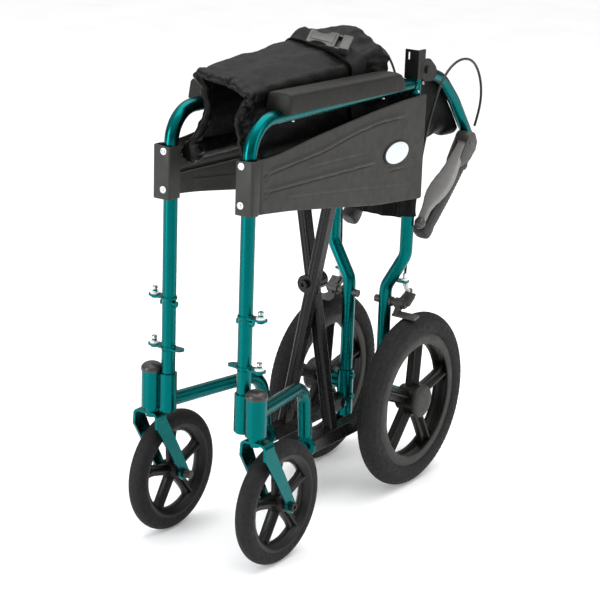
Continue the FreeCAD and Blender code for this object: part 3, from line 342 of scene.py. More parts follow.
def prism(name, low, high, material, round_by, segments):
    """A bevelled plate between two outlines of the same number of points."""
    n = len(low)
    faces = [tuple(range(n))[::-1], tuple(range(n, 2 * n))]
    faces += [(i, (i + 1) % n, n + (i + 1) % n, n + i) for i in range(n)]
    return bevelled(add_mesh(name, low + high, faces, material), round_by, segments, 30.0)


def rod_between(name, start, end, radius, material, count=24, round_by=0.0):
    start, end = Vector(start), Vector(end)
    piece = sweep(name, [start, end], lambda i: circle(radius, count), material)
    return bevelled(piece, round_by) if round_by else piece


def join_pieces(name, parts):
    """Joins mesh objects into one, keeping their materials."""
    work = bmesh.new()
    materials = []
    for part in parts:
        start = len(materials)
        materials.extend(part.data.materials)
        before = len(work.faces)
        work.from_mesh(part.data)
        work.faces.ensure_lookup_table()
        for face in work.faces[before:]:
            face.material_index += start
    mesh = bpy.data.meshes.new(name)
    work.to_mesh(mesh)
    work.free()
    merged = []
    for material in materials:
        if material not in merged:
            merged.append(material)
    for polygon in mesh.polygons:
        polygon.material_index = merged.index(materials[polygon.material_index])
    for material in merged:
        mesh.materials.append(material)
    for part in parts:
        bpy.data.objects.remove(part)
    piece = bpy.data.objects.new(name, mesh)
    bpy.context.scene.collection.objects.link(piece)
    return piece


def mirror_piece(piece, name):
    """A mirror image of a left-hand piece, for the right-hand side."""
    mesh = piece.data.copy()
    mesh.transform(Matrix.Scale(-1.0, 4, (1, 0, 0)))
    mesh.flip_normals()
    copy = bpy.data.objects.new(name, mesh)
    bpy.context.scene.collection.objects.link(copy)
    return copy


def both_sides(piece, name, body, slot, *nodes):
    """The left-hand piece and its mirror image, each riding its own side's body."""
    piece.name = "left_" + name
    finish_piece(piece, "left_" + body, slot, *["left_" + n for n in nodes])
    twin = mirror_piece(piece, "right_" + name)
    finish_piece(twin, "right_" + body, slot, *["right_" + n for n in nodes])
    return piece, twin


# Carried-over CAD nodes keep their shape and take a node material ------------------------------------

def dress_nodes():
    slots = {row["node"]: row["material_slot"] for row in frame["record"]["subparts"]}
    for node, piece in frame["nodes"].items():
        material = SLOT_OF[slots[node]]
        if node.endswith("housing_cap"):
            material = CAP_PLASTIC
        if not piece.material_slots:
            piece.data.materials.append(material)
        for slot in piece.material_slots:
            slot.material = material


dress_nodes()


# Wheels ----------------------------------------------------------------------------------------------

SPOKES = 5


def spoke(centre, angle, hub_r, rim_r, hub_half, rim_half, hub_wide, rim_wide, material):
    """One moulded spoke: a tapered H section, with a thin rib standing up along its middle."""
    rings = []
    steps = 10
    for i in range(steps + 1):
        t = i / steps
        radius = hub_r + (rim_r - hub_r) * t
        flare = 0.35 * (1.0 - t) ** 3 + 0.45 * max(0.0, t - 0.72) ** 1.5 * 6.0
        wide = (hub_wide + (rim_wide - hub_wide) * t) * (1.0 + flare)
        thick = hub_half + (rim_half - hub_half) * t
        web = thick * 0.42
        rib = 0.0016
        section = [(-web, -wide), (-web, -rib * 2.2), (-thick, -rib), (-thick, rib), (-web, rib * 2.2),
                   (-web, wide), (web, wide), (web, rib * 2.2), (thick, rib), (thick, -rib),
                   (web, -rib * 2.2), (web, -wide)]
        axis = Vector((0.0, math.sin(angle), math.cos(angle)))
        cross = Vector((0.0, math.cos(angle), -math.sin(angle)))
        rings.append([centre + Vector((a, 0, 0)) + axis * radius + cross * b for a, b in section])
    points, faces = rings_to_mesh(rings)
    return bevelled(add_mesh("spoke", points, faces, material), 0.0006, 2, 30.0)


def castor_wheel():
    """Castor centre and tyre of the left side."""
    c = CASTOR
    hub = lathe("hub", c, [(c.x + a, r) for a, r in ((-0.017, 0.0042), (-0.017, 0.0105), (-0.0155, 0.0125),
                (-0.010, 0.0150), (-0.004, 0.0168), (0.004, 0.0168), (0.010, 0.0150), (0.0155, 0.0125),
                (0.017, 0.0105), (0.017, 0.0042))], WHEEL_PLASTIC, 64)
    ring = lathe("ring", c, [(c.x + a, r) for a,
                             r in ((-0.0130, 0.0800), (-0.0134, 0.0745), (-0.0118, 0.0722),
                 (-0.0098, 0.0700), (-0.0066, 0.0662), (-0.0028, 0.0640), (0.0028, 0.0640), (0.0066, 0.0662),
                 (0.0098, 0.0700), (0.0118, 0.0722), (0.0134, 0.0745), (0.0130, 0.0800))], WHEEL_PLASTIC, 120)
    spokes = [spoke(c, math.radians(-4.0 + 72.0 * k), 0.0135, 0.0660, 0.0105, 0.0098, 0.0068, 0.0092,
                    WHEEL_PLASTIC)
              for k in range(SPOKES)]
    centre = join_pieces("castor_centre", [hub, ring] + spokes)
    profile = [(-0.0128, 0.0772), (-0.0137, 0.0800), (-0.0137, 0.0868)]
    profile += [(-0.0137 * math.cos(t), 0.0868 + 0.0131 * math.sin(t)) for t in
                [math.radians(a) for a in range(10, 171, 10)]]
    profile += [(0.0137, 0.0868), (0.0137, 0.0800), (0.0128, 0.0772)]
    tyre = lathe("castor_tyre_skin", c, [(c.x + a, r) for a, r in profile], TYRE, 144, smooth_angle=60.0)
    return centre, tyre


def rear_wheel():
    """Rear wheel centre, rim face, hub cap and tyre of the left side."""
    c = REAR_WHEEL
    hub = lathe("hub", c, [(x, r) for x, r in ((0.0712, 0.0062), (0.0712, 0.0200), (0.0730, 0.0225),
                                               (0.0800, 0.0240),
                (0.0930, 0.0262), (0.1030, 0.0278), (0.1080, 0.0283), (0.1082, 0.0120), (0.1082, 0.0062))],
                WHEEL_PLASTIC, 80)
    cap = lathe("cap", c, [(0.1086, 0.0120), (0.1082, 0.0284), (0.1100, 0.0292), (0.1135, 0.0291),
                           (0.1158, 0.0278), (0.1170, 0.0256), (0.1173, 0.0236), (0.1176, 0.0228),
                           (0.1179, 0.0150), (0.1180, 0.0004)],
                RIM_FACE, 80, closed=False)
    channel = [(0.1052, 0.1175), (0.1062, 0.1150), (0.1064, 0.1010), (0.1056, 0.0994), (0.1030, 0.0992),
               (0.0990, 0.1014), (0.0955, 0.1036), (0.0910, 0.1046), (0.0865, 0.1036), (0.0830, 0.1014),
               (0.0790, 0.0992), (0.0764, 0.0994), (0.0756, 0.1010), (0.0758, 0.1150), (0.0768, 0.1175)]
    ring = lathe("ring", c, channel, WHEEL_PLASTIC, 144)
    ring.data.materials.append(RIM_FACE)
    for polygon in ring.data.polygons:
        radius = math.hypot(polygon.center.y - c.y, polygon.center.z - c.z)
        if radius > 0.1005 and abs(polygon.center.x - c.x) > 0.0140:
            polygon.material_index = 1
    spokes = [spoke(c, math.radians(5.0 + 72.0 * k), 0.0220, 0.1030, 0.0130, 0.0128, 0.0085, 0.0125,
                    WHEEL_PLASTIC)
              for k in range(SPOKES)]
    centre = join_pieces("rear_centre", [hub, cap, ring] + spokes)
    return centre, rear_tyre_mesh(c)


TREAD_BLOCKS = 92


def rear_tyre_mesh(c):
    """Rear tyre with a groove down the middle and rows of small blocks over the shoulders."""
    half = 0.0185
    shape = [(-0.0150, 0.1165), (-0.0172, 0.1190), (-0.0184, 0.1240), (-0.0185, 0.1300)]
    crown = []
    for degrees in range(4, 177, 4):
        t = math.radians(degrees)
        crown.append((-half * math.cos(t) * 0.985, 0.1330 + 0.0194 * math.sin(t) ** 0.9))
    shape += crown + [(0.0185, 0.1300), (0.0184, 0.1240), (0.0172, 0.1190), (0.0150, 0.1165)]
    steps = TREAD_BLOCKS * 4
    rings = []
    for i in range(steps):
        angle = 2.0 * math.pi * i / steps
        ring = []
        for x, r in shape:
            depth = 0.0
            if r > 0.1375:
                across = abs(x) / half
                row = int(abs(x) / 0.0033)
                phase = (i + 2 * row) % 4
                in_groove = phase == 0 or (abs(x) % 0.0033) < 0.0006
                depth = 0.0011 if in_groove and across > 0.12 else 0.0
                depth += 0.0009 if abs(x) < 0.0010 else 0.0
            ring.append(around_x(c, c.x + x, r - depth, angle))
        rings.append(ring)
    points, faces = rings_to_mesh(rings, close_ring=True, close_loop=True)
    return add_mesh("rear_tyre_skin", points, faces, TYRE, 35.0)


def build_wheels():
    centre, tyre = castor_wheel()
    both_sides(centre, "castor_centre", "castor_wheel", "wheel_plastic", "castor_rim")
    both_sides(tyre, "castor_tyre_skin", "castor_wheel", "tyre", "castor_tyre")
    centre, tyre = rear_wheel()
    both_sides(centre, "rear_centre", "rear_wheel", "wheel_plastic", "rear_rim")
    both_sides(tyre, "rear_tyre_skin", "rear_wheel", "tyre", "rear_tyre")


build_wheels()


# Seat sling ------------------------------------------------------------------------------------------

SLING_FRONT = -0.2785
SLING_BACK = 0.0960
SLING_THICK = 0.0042

# Heights of the sling's top along its length, in rows of (y, z): far edge, middle and near edge
FAR_EDGE = [(-0.2900, 0.7615), (-0.1720, 0.7725), (-0.0750, 0.7815), (-0.0480, 0.7800), (-0.0200, 0.7925),
            (0.0000, 0.7945), (0.0300, 0.7890), (0.0600, 0.7830), (0.0960, 0.7680)]
MIDDLE = [(-0.2900, 0.7545), (-0.1600, 0.7640), (-0.0600, 0.7700), (-0.0150, 0.7670), (0.0200, 0.7830),
          (0.0450, 0.7950), (0.0700, 0.7910), (0.0960, 0.7750)]
NEAR_EDGE = [(-0.2900, 0.7415), (-0.1530, 0.7480), (-0.0400, 0.7520), (-0.0050, 0.7500), (0.0300, 0.7610),
             (0.0600, 0.7660), (0.0800, 0.7640), (0.0960, 0.7550)]

# How far the front hem stands forward of its usual line, in rows of (z, y shift)
FAR_HEM = [(0.640, -0.010), (0.652, -0.006), (0.672, 0.010), (0.700, 0.016), (0.730, 0.006), (0.752, -0.008),
           (0.800, -0.010)]
NEAR_HEM = [(0.640, -0.014), (0.660, -0.020), (0.700, -0.023), (0.724, -0.012), (0.738, -0.004),
            (0.800, -0.008)]


def ease(t):
    t = max(0.0, min(1.0, t))
    return t * t * (3.0 - 2.0 * t)


def read_rows(rows, at):
    """Smooth reading of rows of (place, value)."""
    for (a, low), (b, high) in zip(rows, rows[1:]):
        if at <= b:
            return low + (high - low) * ease((at - a) / (b - a))
    return rows[-1][1]


def sling_line(side, y):
    """Points (x, z) of one half of the sling's outline at y, from the seat rail up and over to the middle."""
    edge = read_rows(NEAR_EDGE if side > 0 else FAR_EDGE, y)
    middle = read_rows(MIDDLE, y)
    t = (y - SLING_FRONT) / (SLING_BACK - SLING_FRONT)
    front = math.exp(-max(y - SLING_FRONT, 0.0) / 0.030)
    corner = 0.0480 + 0.0030 * ease(t) + (0.0080 if side > 0 else 0.0030) * front
    low = 0.0020 * front
    side_points = [(0.0545 + low, 0.6475), (0.0530 + low, 0.660), (0.0495 + low, 0.682),
                   (0.0472 + low, 0.702), (0.0466 + low + 0.003 * front, 0.718)]
    round_z = edge - 0.014
    side_points.append((corner - 0.0006, round_z - 0.008))
    round_off = []
    for degrees in (0, 18, 36, 54, 72):
        a = math.radians(degrees)
        round_off.append((corner - 0.013 + 0.013 * math.cos(a), round_z + 0.013 * math.sin(a)))
    inner = [(0.026, edge + (middle - edge) * 0.42), (0.012, edge + (middle - edge) * 0.84), (0.0, middle)]
    return side_points + round_off + inner


def resample(line, count):
    """Evenly spaced points along a polyline in the plane, with the direction that faces outward."""
    lengths = [0.0]
    for a, b in zip(line, line[1:]):
        lengths.append(lengths[-1] + math.hypot(b[0] - a[0], b[1] - a[1]))
    out = []
    index = 0
    for k in range(count):
        target = lengths[-1] * k / (count - 1)
        while index < len(line) - 2 and lengths[index + 1] < target:
            index += 1
        a, b = line[index], line[index + 1]
        run = lengths[index + 1] - lengths[index]
        t = (target - lengths[index]) / run
        out.append((a[0] + (b[0] - a[0]) * t, a[1] + (b[1] - a[1]) * t))
    outward = []
    for k in range(count):
        a, b = out[max(k - 2, 0)], out[min(k + 2, count - 1)]
        dx, dz = b[0] - a[0], b[1] - a[1]
        size = math.hypot(dx, dz)
        outward.append((dz / size, -dx / size))
    return out, outward, lengths[-1]


def wrinkle(s, y, seed, side):
    """Soft folds of the sling's outer face, tight gathers by the front hem and looser ones behind."""
    big = noise.noise(Vector((s * 13.0, y * 11.0, seed))) * 0.0032
    slanted = noise.noise(Vector(((s + y * 0.8) * 34.0, (y - s) * 9.0, seed + 4.0))) * 0.0022
    crease = abs(noise.noise(Vector(((s - y * 0.6) * 24.0, (y + s) * 11.0, seed + 9.0))))
    fine = noise.noise(Vector(((s + y) * 90.0, (y - s) * 30.0, seed + 2.0))) * 0.0003
    from_front = y - SLING_FRONT
    near = math.exp(-max(from_front - 0.004, 0.0) / 0.014)
    wander = noise.noise(Vector((s * 26.0, seed, side)))
    gather = math.sin(2.0 * math.pi * (s / 0.0230 + 0.8 * wander)) * (0.7 + wander)
    gather += 0.40 * math.sin(2.0 * math.pi * (s / 0.0125) + 1.3 * side + 2.0 * wander)
    gathers = near * gather * 0.0021
    seam = -0.0022 * math.exp(-((from_front - 0.0185) / 0.0026) ** 2)
    from_back = SLING_BACK - y
    back = math.exp(-max(from_back, 0.0) / 0.030) * math.sin(2.0 * math.pi * s / 0.021 + seed) * 0.0022
    return big + slanted + fine + 0.0016 * (0.35 - crease) + gathers + seam + back


def sling_section():
    """Closed loop of (y, inset, weight) round the cloth: outer face, puffed hem, inner face, rear edge."""
    loop = []
    outer_steps = 96
    start = SLING_FRONT + 0.0080
    for k in range(outer_steps + 1):
        t = k / outer_steps
        loop.append((start + (SLING_BACK - start) * (t ** 1.35), 0.0, 1.0))
    loop = loop[::-1]
    for degrees in range(12, 181, 12):
        a = math.radians(degrees)
        loop.append((start - 0.0090 * math.sin(a), 0.0062 - 0.0070 * math.cos(a), 1.0 - degrees / 260.0))
    loop.append((start + 0.006, 0.0128, 0.45))
    loop.append((start + 0.011, 0.0085, 0.4))
    inner_steps = 22
    for k in range(inner_steps + 1):
        t = k / inner_steps
        loop.append((start + 0.018 + (SLING_BACK - start - 0.018) * t, SLING_THICK, 0.3))
    return loop


def hem_shift(side, y, z, s, seed):
    """Forward and backward drift of the cloth near its front hem, where it hangs in loose lobes."""
    near = math.exp(-max(y - SLING_FRONT, 0.0) / 0.045)
    rows = NEAR_HEM if side > 0 else FAR_HEM
    lobe = noise.noise(Vector((s * 30.0, seed, 1.0))) * 0.0055 + noise.noise(Vector((s * 62.0, seed,
                                                                                     5.0))) * 0.0012
    return (read_rows(rows, z) + lobe) * near


def sling_half(side):
    """Half of the seat sling, from the left or right seat rail to the middle."""
    count = 170
    rings = []
    seed = 3.0 if side > 0 else 11.0
    for y, inset, weight in sling_section():
        line, outward, length = resample(sling_line(side, y), count)
        ring = []
        for k, ((x, z), (nx, nz)) in enumerate(zip(line, outward)):
            s = length * k / (count - 1)
            fade = min(1.0, k / 5.0)
            middle = min(1.0, (count - 1 - k) / 12.0)
            push = wrinkle(s, y, seed, side) * weight * fade
            shift = hem_shift(side, y, z, s, seed)
            if middle < 1.0:
                away = ease(1.0 - middle)
                both = 0.5 * (wrinkle(0.12, y, 3.0, 1.0) + wrinkle(0.12, y, 11.0, -1.0)) * weight
                push += (both - push) * away
                both = 0.5 * (hem_shift(1.0, y, 0.79, 0.12, 3.0) + hem_shift(-1.0, y, 0.79, 0.12, 11.0))
                shift += (both - shift) * away
            depth = push - inset
            px = max(x + nx * depth, 0.0)
            if k == count - 1:
                px, nz = 0.0, 1.0
            ring.append(Vector((side * px, y + shift, z + nz * depth)))
        rings.append(ring)
    points, faces = rings_to_mesh(rings, close_ring=False, close_loop=True)
    rim_low = [i * count for i in range(len(rings))]
    faces.append(tuple(rim_low))
    name = ("left" if side > 0 else "right") + "_sling"
    return add_mesh(name, points, faces, NYLON, 75.0)


def rail_sleeve(side):
    """Cloth hem wrapped round a seat rail, puckered over the rail's front end."""
    centre_x = side * SEAT_RAIL.x
    steps = 100
    front = SLING_FRONT - 0.0110
    rings = []
    for i in range(steps + 1):
        t = i / steps
        y = front + (SLING_BACK - front) * t ** 1.6
        from_front = y - front
        mouth = 1.0 - 0.75 * math.exp(-from_front / 0.0016)
        puff = math.exp(-((from_front - 0.009) / 0.011) ** 2)
        ring = []
        for a in turn_angles(56):
            pucker = math.sin(9.0 * a + 3.0 * noise.noise(Vector((y * 40.0, math.cos(a),
                                                                  side)))) * 0.0016 * puff
            r = 0.0134 + 0.0009 * noise.noise(Vector((y * 60.0, math.cos(a), math.sin(a) + side * 5.0)))
            r = (r + 0.0042 * puff + pucker) * mouth
            lip = 0.0035 * math.exp(-((a - math.pi / 2.0) / 0.45) ** 2) * mouth
            ring.append(Vector((centre_x + r * math.cos(a), y, SEAT_RAIL.z + (r + lip) * math.sin(a))))
        rings.append(ring)
    points, faces = rings_to_mesh(rings)
    return add_mesh("sleeve", points, faces, NYLON, 60.0)


def follow_sling(piece):
    """Bakes a piece of one sling half into its mesh where it stands."""
    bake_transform(piece)


def build_sling():
    for name, side, brace in (("left", 1.0, "front_brace"), ("right", -1.0, "rear_brace")):
        half = sling_half(side)
        follow_sling(half)
        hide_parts(name + "_seat_flap", name + "_seat_middle")
        # Doubled cloth, folded back on itself round the front hem
        sleeve = rail_sleeve(side)
        sleeve.name = name + "_rail_sleeve"
        finish_piece(sleeve, brace, "nylon")


build_sling()


# Lap belt and buckle -----------------------------------------------------------------------------------

BELT_Y = -0.0160             # belt's centre line at the sling's middle
BELT_SLANT = 0.35
BELT_HALF = 0.019
BUCKLE_AT = Vector((0.0090, -0.0090, 0.7775))
BUCKLE_FACE = Vector((0.30, -0.35, 1.0)).normalized()
BUCKLE_LENGTHWISE = Vector((1.0, BELT_SLANT, 0.0))


def belt_half(side):
    """Webbing over one half of the sling, lying aslant on the cloth."""
    count = 90
    across = 9
    upper, lower = [], []
    for j in range(across):
        offset = -BELT_HALF + 2.0 * BELT_HALF * j / (across - 1)
        edge = abs(2.0 * j / (across - 1) - 1.0)
        base, _, _ = resample(sling_line(side, BELT_Y + offset), count)
        top_row, low_row = [], []
        for k in range(count):
            y = BELT_Y + offset + BELT_SLANT * side * base[k][0]
            line, outward, _ = resample(sling_line(side, y), count)
            (x, z), (nx, nz) = line[k], outward[k]
            for level, row in ((0.0056, top_row), (0.0034, low_row)):
                depth = level - 0.0004 * edge
                row.append(Vector((side * (x + nx * depth), y, z + nz * depth)))
        for row in (top_row, low_row):
            row[-1].x = 0.0
        upper.append(top_row)
        lower.append(low_row)
    loop = upper + lower[::-1]
    points, faces = rings_to_mesh(loop, close_ring=False, close_loop=True)
    faces.append(tuple(i * count for i in range(len(loop))))
    return add_mesh("belt", points, faces, WEBBING, 50.0)


def buckle_parts():
    """Side-release buckle: a smooth socket with a bay on each side for the prongs, and a ladder bar."""
    parts = []
    along = (BUCKLE_LENGTHWISE - BUCKLE_FACE * BUCKLE_LENGTHWISE.dot(BUCKLE_FACE)).normalized()
    turn = Matrix((along, BUCKLE_FACE.cross(along), BUCKLE_FACE)).transposed().to_4x4()
    place = Matrix.Translation(BUCKLE_AT) @ turn

    def slab(outline, low, high, material, round_by):
        under, over = ([place @ Vector((x, y, height)) for x, y in outline] for height in (low, high))
        parts.append(prism("slab", under, over, material, round_by, 4))

    front = [(-0.0390, -0.0150), (-0.0375, -0.0190), (-0.0325, -0.0198), (-0.0290, -0.0150),
             (-0.0240, -0.0122), (-0.0150, -0.0118), (-0.0080, -0.0150), (-0.0050, -0.0205),
             (0.0060, -0.0208), (0.0080, -0.0190)]
    rear = [(x, -y) for x, y in reversed(front)]
    slab(front + rear, -0.0058, 0.0052, BUCKLE, 0.0026)
    slab([(-0.0340, -0.0100), (-0.0020, -0.0110), (0.0040, -0.0150), (0.0040, 0.0150), (-0.0020, 0.0110),
          (-0.0340, 0.0100)], 0.0030, 0.0064, BUCKLE, 0.0022)
    for sign in (-1.0, 1.0):
        prong = [(-0.0290, sign * 0.0120), (-0.0270, sign * 0.0178), (-0.0180, sign * 0.0196),
                 (-0.0060, sign * 0.0190), (-0.0060, sign * 0.0100)]
        slab(prong[::-1] if sign > 0 else prong, -0.0056, -0.0004, CAP_PLASTIC, 0.0014)
    slab([(0.0060, -0.0165), (0.0160, -0.0165), (0.0160, 0.0165), (0.0060, 0.0165)], -0.0056, -0.0020,
         BLACK_PLASTIC, 0.0004)
    for low, high in ((-0.0200, -0.0150), (0.0150, 0.0200)):
        slab([(0.0070, low), (0.0200, low), (0.0200, high), (0.0070, high)], -0.0056, 0.0036, BUCKLE, 0.0016)
    slab([(0.0150, -0.0200), (0.0290, -0.0200), (0.0310, -0.0180), (0.0310, 0.0180), (0.0290, 0.0200),
          (0.0150, 0.0200)],
         -0.0060, 0.0056, BUCKLE, 0.0030)
    return join_pieces("belt_buckle_skin", parts)


def build_belt():
    for name, side in SIDES.items():
        strap = belt_half(side)
        strap.name = name + "_belt_strap"
        follow_sling(strap)
        if name == "left":
            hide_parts("lap_belt")
    finish_piece(buckle_parts(), "left_seat_top", "buckle_plastic", "belt_buckle")


build_belt()


# Back upholstery ---------------------------------------------------------------------------------------

LOWER_PANEL_Z = (0.468, 0.7035)
LOWER_HALF_WIDE = 0.0605
UPPER_HALF_WIDE = 0.0610


def thin_cloth(name, sheet, thickness, material):
    """A closed skin on both sides of a grid of points, sheet[row][column]."""
    rows, columns = len(sheet), len(sheet[0])
    normals = []
    for i in range(rows):
        line = []
        for j in range(columns):
            du = sheet[min(i + 1, rows - 1)][j] - sheet[max(i - 1, 0)][j]
            dv = sheet[i][min(j + 1, columns - 1)] - sheet[i][max(j - 1, 0)]
            line.append(du.cross(dv).normalized() * (thickness / 2.0))
        normals.append(line)
    rings = []
    for i in range(rows):
        front = [sheet[i][j] + normals[i][j] for j in range(columns)]
        back = [sheet[i][j] - normals[i][j] for j in reversed(range(columns))]
        rings.append(front + back)
    points, faces = rings_to_mesh(rings, close_ring=True, caps=False)
    n = 2 * columns
    for base in (0, (rows - 1) * n):
        for j in range(columns - 1):
            quad = (base + j, base + j + 1, base + n - 2 - j, base + n - 1 - j)
            faces.append(quad)
    return add_mesh(name, points, faces, material, 70.0)


def lower_panel():
    """Back cloth between the upright posts, gathered into upright folds while the chair is folded."""
    rows, columns = 70, 130
    sheet = []
    for i in range(rows):
        t = i / (rows - 1)
        line = []
        for j in range(columns):
            u = 2.0 * j / (columns - 1) - 1.0
            x = -LOWER_HALF_WIDE * u
            hang = LOWER_PANEL_Z[0] - 0.004 * (1.0 - u * u)
            z = hang + (LOWER_PANEL_Z[1] - hang) * t
            held = 1.0 - abs(u) ** 6
            folds = math.sin(u * math.pi * 3.4 + 1.4 * noise.noise(Vector((u * 1.3, t * 2.2, 5.0))) + 0.6)
            small = noise.noise(Vector((u * 5.0, t * 6.0, 9.0)))
            depth = held * (0.0065 * folds * (0.35 + 0.65 * t) + 0.0035 * small)
            line.append(Vector((x, REAR_Y + 0.0155 + depth, z)))
        sheet.append(line)
    return thin_cloth("lower_back_cloth", sheet, 0.0020, NYLON_DARK)


def post_sleeve():
    """Cloth sleeve round the upright part of the left rear post."""
    rings = []
    steps = 60
    for i in range(steps + 1):
        t = i / steps
        z = 0.478 + (0.680 - 0.478) * t
        ring = []
        for a in turn_angles(28):
            slack = 0.0010 * noise.noise(Vector((math.cos(a) * 2.0, math.sin(a) * 2.0, z * 40.0)))
            mouth = 0.0022 * math.exp(-t / 0.03)
            r = 0.0130 + slack + mouth * (1.0 + math.cos(3.0 * a)) * 0.5
            ring.append(Vector((POST_X + r * math.cos(a), REAR_Y + r * math.sin(a), z)))
        rings.append(ring)
    points, faces = rings_to_mesh(rings)
    return add_mesh("sleeve", points, faces, NYLON_DARK, 60.0)


UPPER_EDGE = [(0.1660, 0.7140), (0.1880, 0.7160), (0.2120, 0.7080), (0.2400, 0.6850), (0.2680, 0.6570),
              (0.2920, 0.6290), (0.3130, 0.6010)]
UPPER_LOW = [(0.1640, 0.6400), (0.1760, 0.6000), (0.2000, 0.5760), (0.2360, 0.5800), (0.2700, 0.5870),
             (0.2980, 0.5880), (0.3170, 0.5820)]


def along_line(line, t):
    """The point at share t of the way through a list of (y, z) points."""
    place = t * (len(line) - 1)
    index = min(int(place), len(line) - 2)
    f = place - index
    a, b = line[index], line[index + 1]
    return a[0] + (b[0] - a[0]) * f, a[1] + (b[1] - a[1]) * f


def upper_panel():
    """Back cloth of the folded-down part, hanging slack between the two back tubes."""
    rows, columns = 80, 110
    sheet = []
    for i in range(rows):
        t = i / (rows - 1)
        edge_y, edge_z = along_line(UPPER_EDGE, t)
        low_y, low_z = along_line(UPPER_LOW, t)
        line = []
        for j in range(columns):
            u = 2.0 * j / (columns - 1) - 1.0
            x = -UPPER_HALF_WIDE * u
            sag = (1.0 - abs(u) ** 5) ** 0.8
            fold = noise.noise(Vector((u * 2.6, t * 4.0, 2.0))) * 0.006 * sag
            fold += 0.0035 * math.sin(t * 26.0 + 3.0 * noise.noise(Vector((u * 2.0, t * 2.0, 8.0)))) * sag
            y = edge_y + (low_y - edge_y) * sag
            z = edge_z + (low_z - edge_z) * sag + fold * 0.5
            pull_in = 1.0 - 0.10 * sag * (1.0 - abs(u))
            line.append(Vector((x * pull_in, y + fold, z)))
        sheet.append(line)
    return thin_cloth("upper_back_cloth", sheet, 0.0022, NYLON_DARK)


def build_back_cloth():
    lower = lower_panel()
    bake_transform(lower)
    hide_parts("lower_back_panel")
    upper = upper_panel()
    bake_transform(upper)
    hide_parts("upper_back_panel")
    both_sides(post_sleeve(), "post_sleeve", "frame", "nylon")


build_back_cloth()


# Brake cables ------------------------------------------------------------------------------------------

CABLE_ROUTE = [(0.0800, 0.3398, 0.601), (0.0830, 0.3493, 0.630), (0.0870, 0.3448, 0.666),
               (0.0900, 0.3258, 0.700), (0.0915, 0.2968, 0.724), (0.0920, 0.2568, 0.730),
               (0.0920, 0.2198, 0.718), (0.0920, 0.1928, 0.692), (0.0910, 0.1768, 0.658),
               (0.0860, 0.1688, 0.620), (0.0790, 0.1648, 0.560), (0.0730, 0.1628, 0.480),
               (0.0680, 0.1598, 0.410), (0.0660, 0.1568, 0.376), (0.0660, 0.1568, 0.360)]
CABLE_R = 0.0022


def nurbs_line(points):
    """Points of a smooth curve that has the given points as its control points."""
    data = bpy.data.curves.new("route", "CURVE")
    data.dimensions = "3D"
    data.resolution_u = 14
    spline = data.splines.new("NURBS")
    spline.points.add(len(points) - 1)
    for place, point in zip(spline.points, points):
        place.co = (*point, 1.0)
    spline.order_u = 3
    spline.use_endpoint_u = True
    holder = bpy.data.objects.new("route", data)
    line = [vertex.co.copy() for vertex in holder.to_mesh().vertices]
    bpy.data.objects.remove(holder)
    bpy.data.curves.remove(data)
    return line


def build_cables():
    for name, side in SIDES.items():
        path = nurbs_line([Vector((side * x, y, z)) for x, y, z in CABLE_ROUTE])
        sheath = sweep(name + "_cable_sheath", path, lambda i: circle(CABLE_R, 14), SHEATH)
        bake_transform(sheath)
        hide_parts(name + "_brake_cable")


build_cables()


# Skirt guards ------------------------------------------------------------------------------------------

# Lines on the guard's face as points (y, z), from front to rear
GUARD_TOP = [(-0.308, 0.647), (-0.257, 0.649), (-0.162, 0.6615), (0.0, 0.677), (0.074, 0.682), (0.154, 0.684)]
GUARD_LOW = [(-0.308, 0.566), (-0.220, 0.5565), (0.013, 0.5215), (0.158, 0.507)]
# Grooves of the moulded face, each with its depth
GUARD_LINES = [([(-0.286, 0.622), (-0.140, 0.6335), (-0.071, 0.6455), (-0.035, 0.650), (0.020, 0.6545),
                 (0.101, 0.6535)],
                0.0013),
               ([(-0.288, 0.5955), (-0.102, 0.5925), (0.014, 0.5905)], 0.0012),
               ([(-0.186, 0.615), (-0.104, 0.614), (-0.013, 0.611)], 0.0004),
               ([(0.046, 0.572), (0.109, 0.569)], 0.0011),
               ([(-0.238, 0.579), (-0.101, 0.564), (0.128, 0.5355)], 0.0003)]
GUARD_DIMPLES = [(-0.290, 0.620), (-0.290, 0.593)]
GUARD_OUT = 0.0905
GUARD_THICK = 0.0030
BADGE_AT = (0.0690, 0.5990)
BADGE_HALF = (0.0345, 0.0175)


def height_on(line, y):
    """Height of a (y, z) line at y, straight between its points."""
    if y <= line[0][0]:
        return line[0][1]
    for (y0, z0), (y1, z1) in zip(line, line[1:]):
        if y <= y1:
            return z0 + (z1 - z0) * (y - y0) / (y1 - y0)
    return line[-1][1]


def soft_height(line, y):
    """Height of a (y, z) line at y, averaged over a few centimetres so that its corners are round."""
    return sum(height_on(line, y + 0.006 * k) for k in range(-3, 4)) / 7.0


def guard_relief(y, z):
    """How far the guard's face stands out at (y, z): grooves, raised fields, dimples and a badge seat."""
    out = 0.0006 * math.sin((y + 0.30) * 9.0) * math.sin((z - 0.5) * 20.0)
    for line, depth in GUARD_LINES:
        start, end = line[0][0], line[-1][0]
        away = z - soft_height(line, y)
        fade = ease((y - start) / 0.012) * ease((end - y) / 0.030)
        out -= depth * math.exp(-(away / 0.0012) ** 2) * fade
        out += depth * 0.75 * math.exp(-((away - 0.0045) / 0.0038) ** 2) * fade
    for dy, dz in GUARD_DIMPLES:
        r = math.hypot(y - dy, z - dz)
        out += 0.0016 * math.exp(-(r / 0.0027) ** 2) - 0.0008 * math.exp(-((r - 0.0052) / 0.0014) ** 2)
    fit = math.hypot((y - BADGE_AT[0]) / (BADGE_HALF[0] + 0.003), (z - BADGE_AT[1]) / (BADGE_HALF[1] + 0.003))
    out += 0.0008 * (1.0 - ease((fit - 0.9) / 0.12))
    edge_groove = math.exp(-((y + 0.3025) / 0.0028) ** 2)
    out -= 0.0016 * edge_groove
    return out


